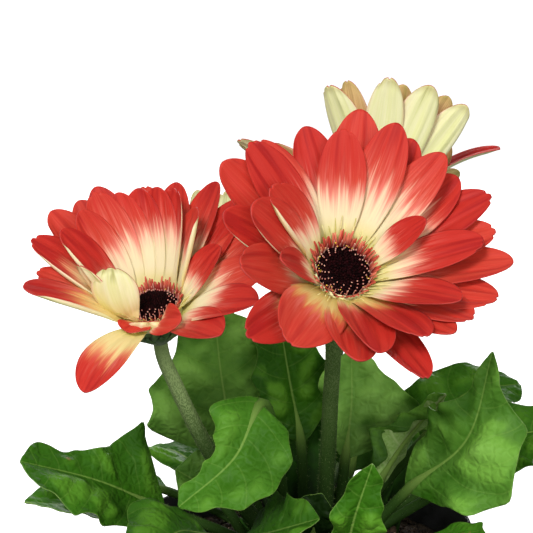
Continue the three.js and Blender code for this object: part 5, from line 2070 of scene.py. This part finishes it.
def make_shoots(name, spots, skin):
    """A small hollow blade on each spot, which leans outwards the further out it stands."""
    blank = narrow_blank("shoot", 6, 14, 0.6, skin, lambda t: np.sin(2.9 * (t + 0.08)) ** 0.7)
    s, t, face = vertices(blank).T
    pieces = []
    for x, y, height, half in spots:
        steps = [(1, 0), (1.12, 0.55), (1.3, 1)]  # outwards and up
        line = [(x * out, y * out, SHOOT_FOOT + height * up) for out, up in steps]
        inward = (-x, -y - 0.1, 6)
        rail = Rail(spline(line, 10), lambda share: np.tile(inward, (len(share), 1)))
        piece = copied(blank)
        moved(piece, rail.lay(t, s * half, 0.5 * half * s * s + face) * MM)
        pieces.append(piece)
    bpy.data.objects.remove(blank)
    finished(joined(name, pieces))


# The young leaves' near-black and dark greens are painted shade, for they stand deep in the crown.
young = CROWN_SPOTS + crown_spots(YOUNG_LEAVES, 7, (12, 22), (3, 5))
make_shoots("young_leaves", young, shoot_skin("young_leaf_skin", HEART_SHADE_GREEN, LEAF_DARK))
old = crown_spots(SCALES, 9, (5, 11), (2, 3.5))
make_shoots("crown_scales", old, shoot_skin("scale_skin", SCALE_DARK, SCALE_BROWN))

# %% [markdown]
# ## Down
#
# Stalks and leaf stems are covered in short pale hairs that catch the light at their rims.
# Each hair is a copy of a thin three-sided cone that stands on the stem and leans forward.

# %% Hairs on stalks and leaf stems
STALK_HAIRS = 1300  # on each stalk
LEAF_HAIRS = 130  # on each leaf stem
HAIR_RADIUS = 0.04
HAIR_SUNK = 0.04  # how deep its foot is in the stem
SOIL_SURFACE = 93
STALK_HAIRS_TO = 0.99  # share of the stalk's line where the cup begins
LEAF_HAIRS_FROM = 0.1  # share of a leaf's line where it is out of the soil


def make_down(name, rail, count, radius_at, flatness, reach, seed):
    """Hairs all round a stem, between two shares of its line."""
    rng = np.random.default_rng(seed)
    share = lerp(*reach, rng.random(count))
    angle = rng.random(count) * 2 * math.pi
    radius = radius_at(share) - HAIR_SUNK
    side, up = np.cos(angle) * radius, np.sin(angle) * radius * flatness
    feet = rail.lay(share, side, up)
    tips = rail.lay(share, side * 1.5, up * 1.5, rng.normal(0.35, 0.3, count))
    ways = unit(tips - feet + rng.normal(0, 0.25, (count, 3)))
    lengths = rng.uniform(0.35, 1.05, count)
    matrices = [
        pointing(foot * MM, way, 0, np.array((HAIR_RADIUS, HAIR_RADIUS, length)) * MM)
        for foot, way, length in zip(feet, ways, lengths)
    ]
    piece = scattered(name, HAIR_BLANK, DOWN_SKIN, matrices, np.zeros(count))
    finished(piece)


def share_above_soil(rail):
    """The share of a stem's line at which it leaves the soil."""
    return float(np.interp(SOIL_SURFACE, rail.spots[:, 2], rail.shares))


for bloom in BLOOMS:
    reach = (share_above_soil(bloom["rail"]), STALK_HAIRS_TO)
    make_down(
        part_name(bloom, "down"), bloom["rail"], STALK_HAIRS,
        stalk_radius(bloom), 1, reach, bloom["seed"],
    )
for index, leaf in enumerate(LEAVES):
    reach = (LEAF_HAIRS_FROM, leaf["foot"])
    make_down(
        f"down_leaf_{index + 1:02d}", leaf["rail"], LEAF_HAIRS,
        rib_radius(leaf["foot"]), STEM_FLATNESS, reach, 200 + index,
    )

# %% [markdown]
# ## Finish
#
# The blanks have done their work and go.

# %% Remove the blanks
for blank in BLANKS:
    bpy.data.objects.remove(blank)
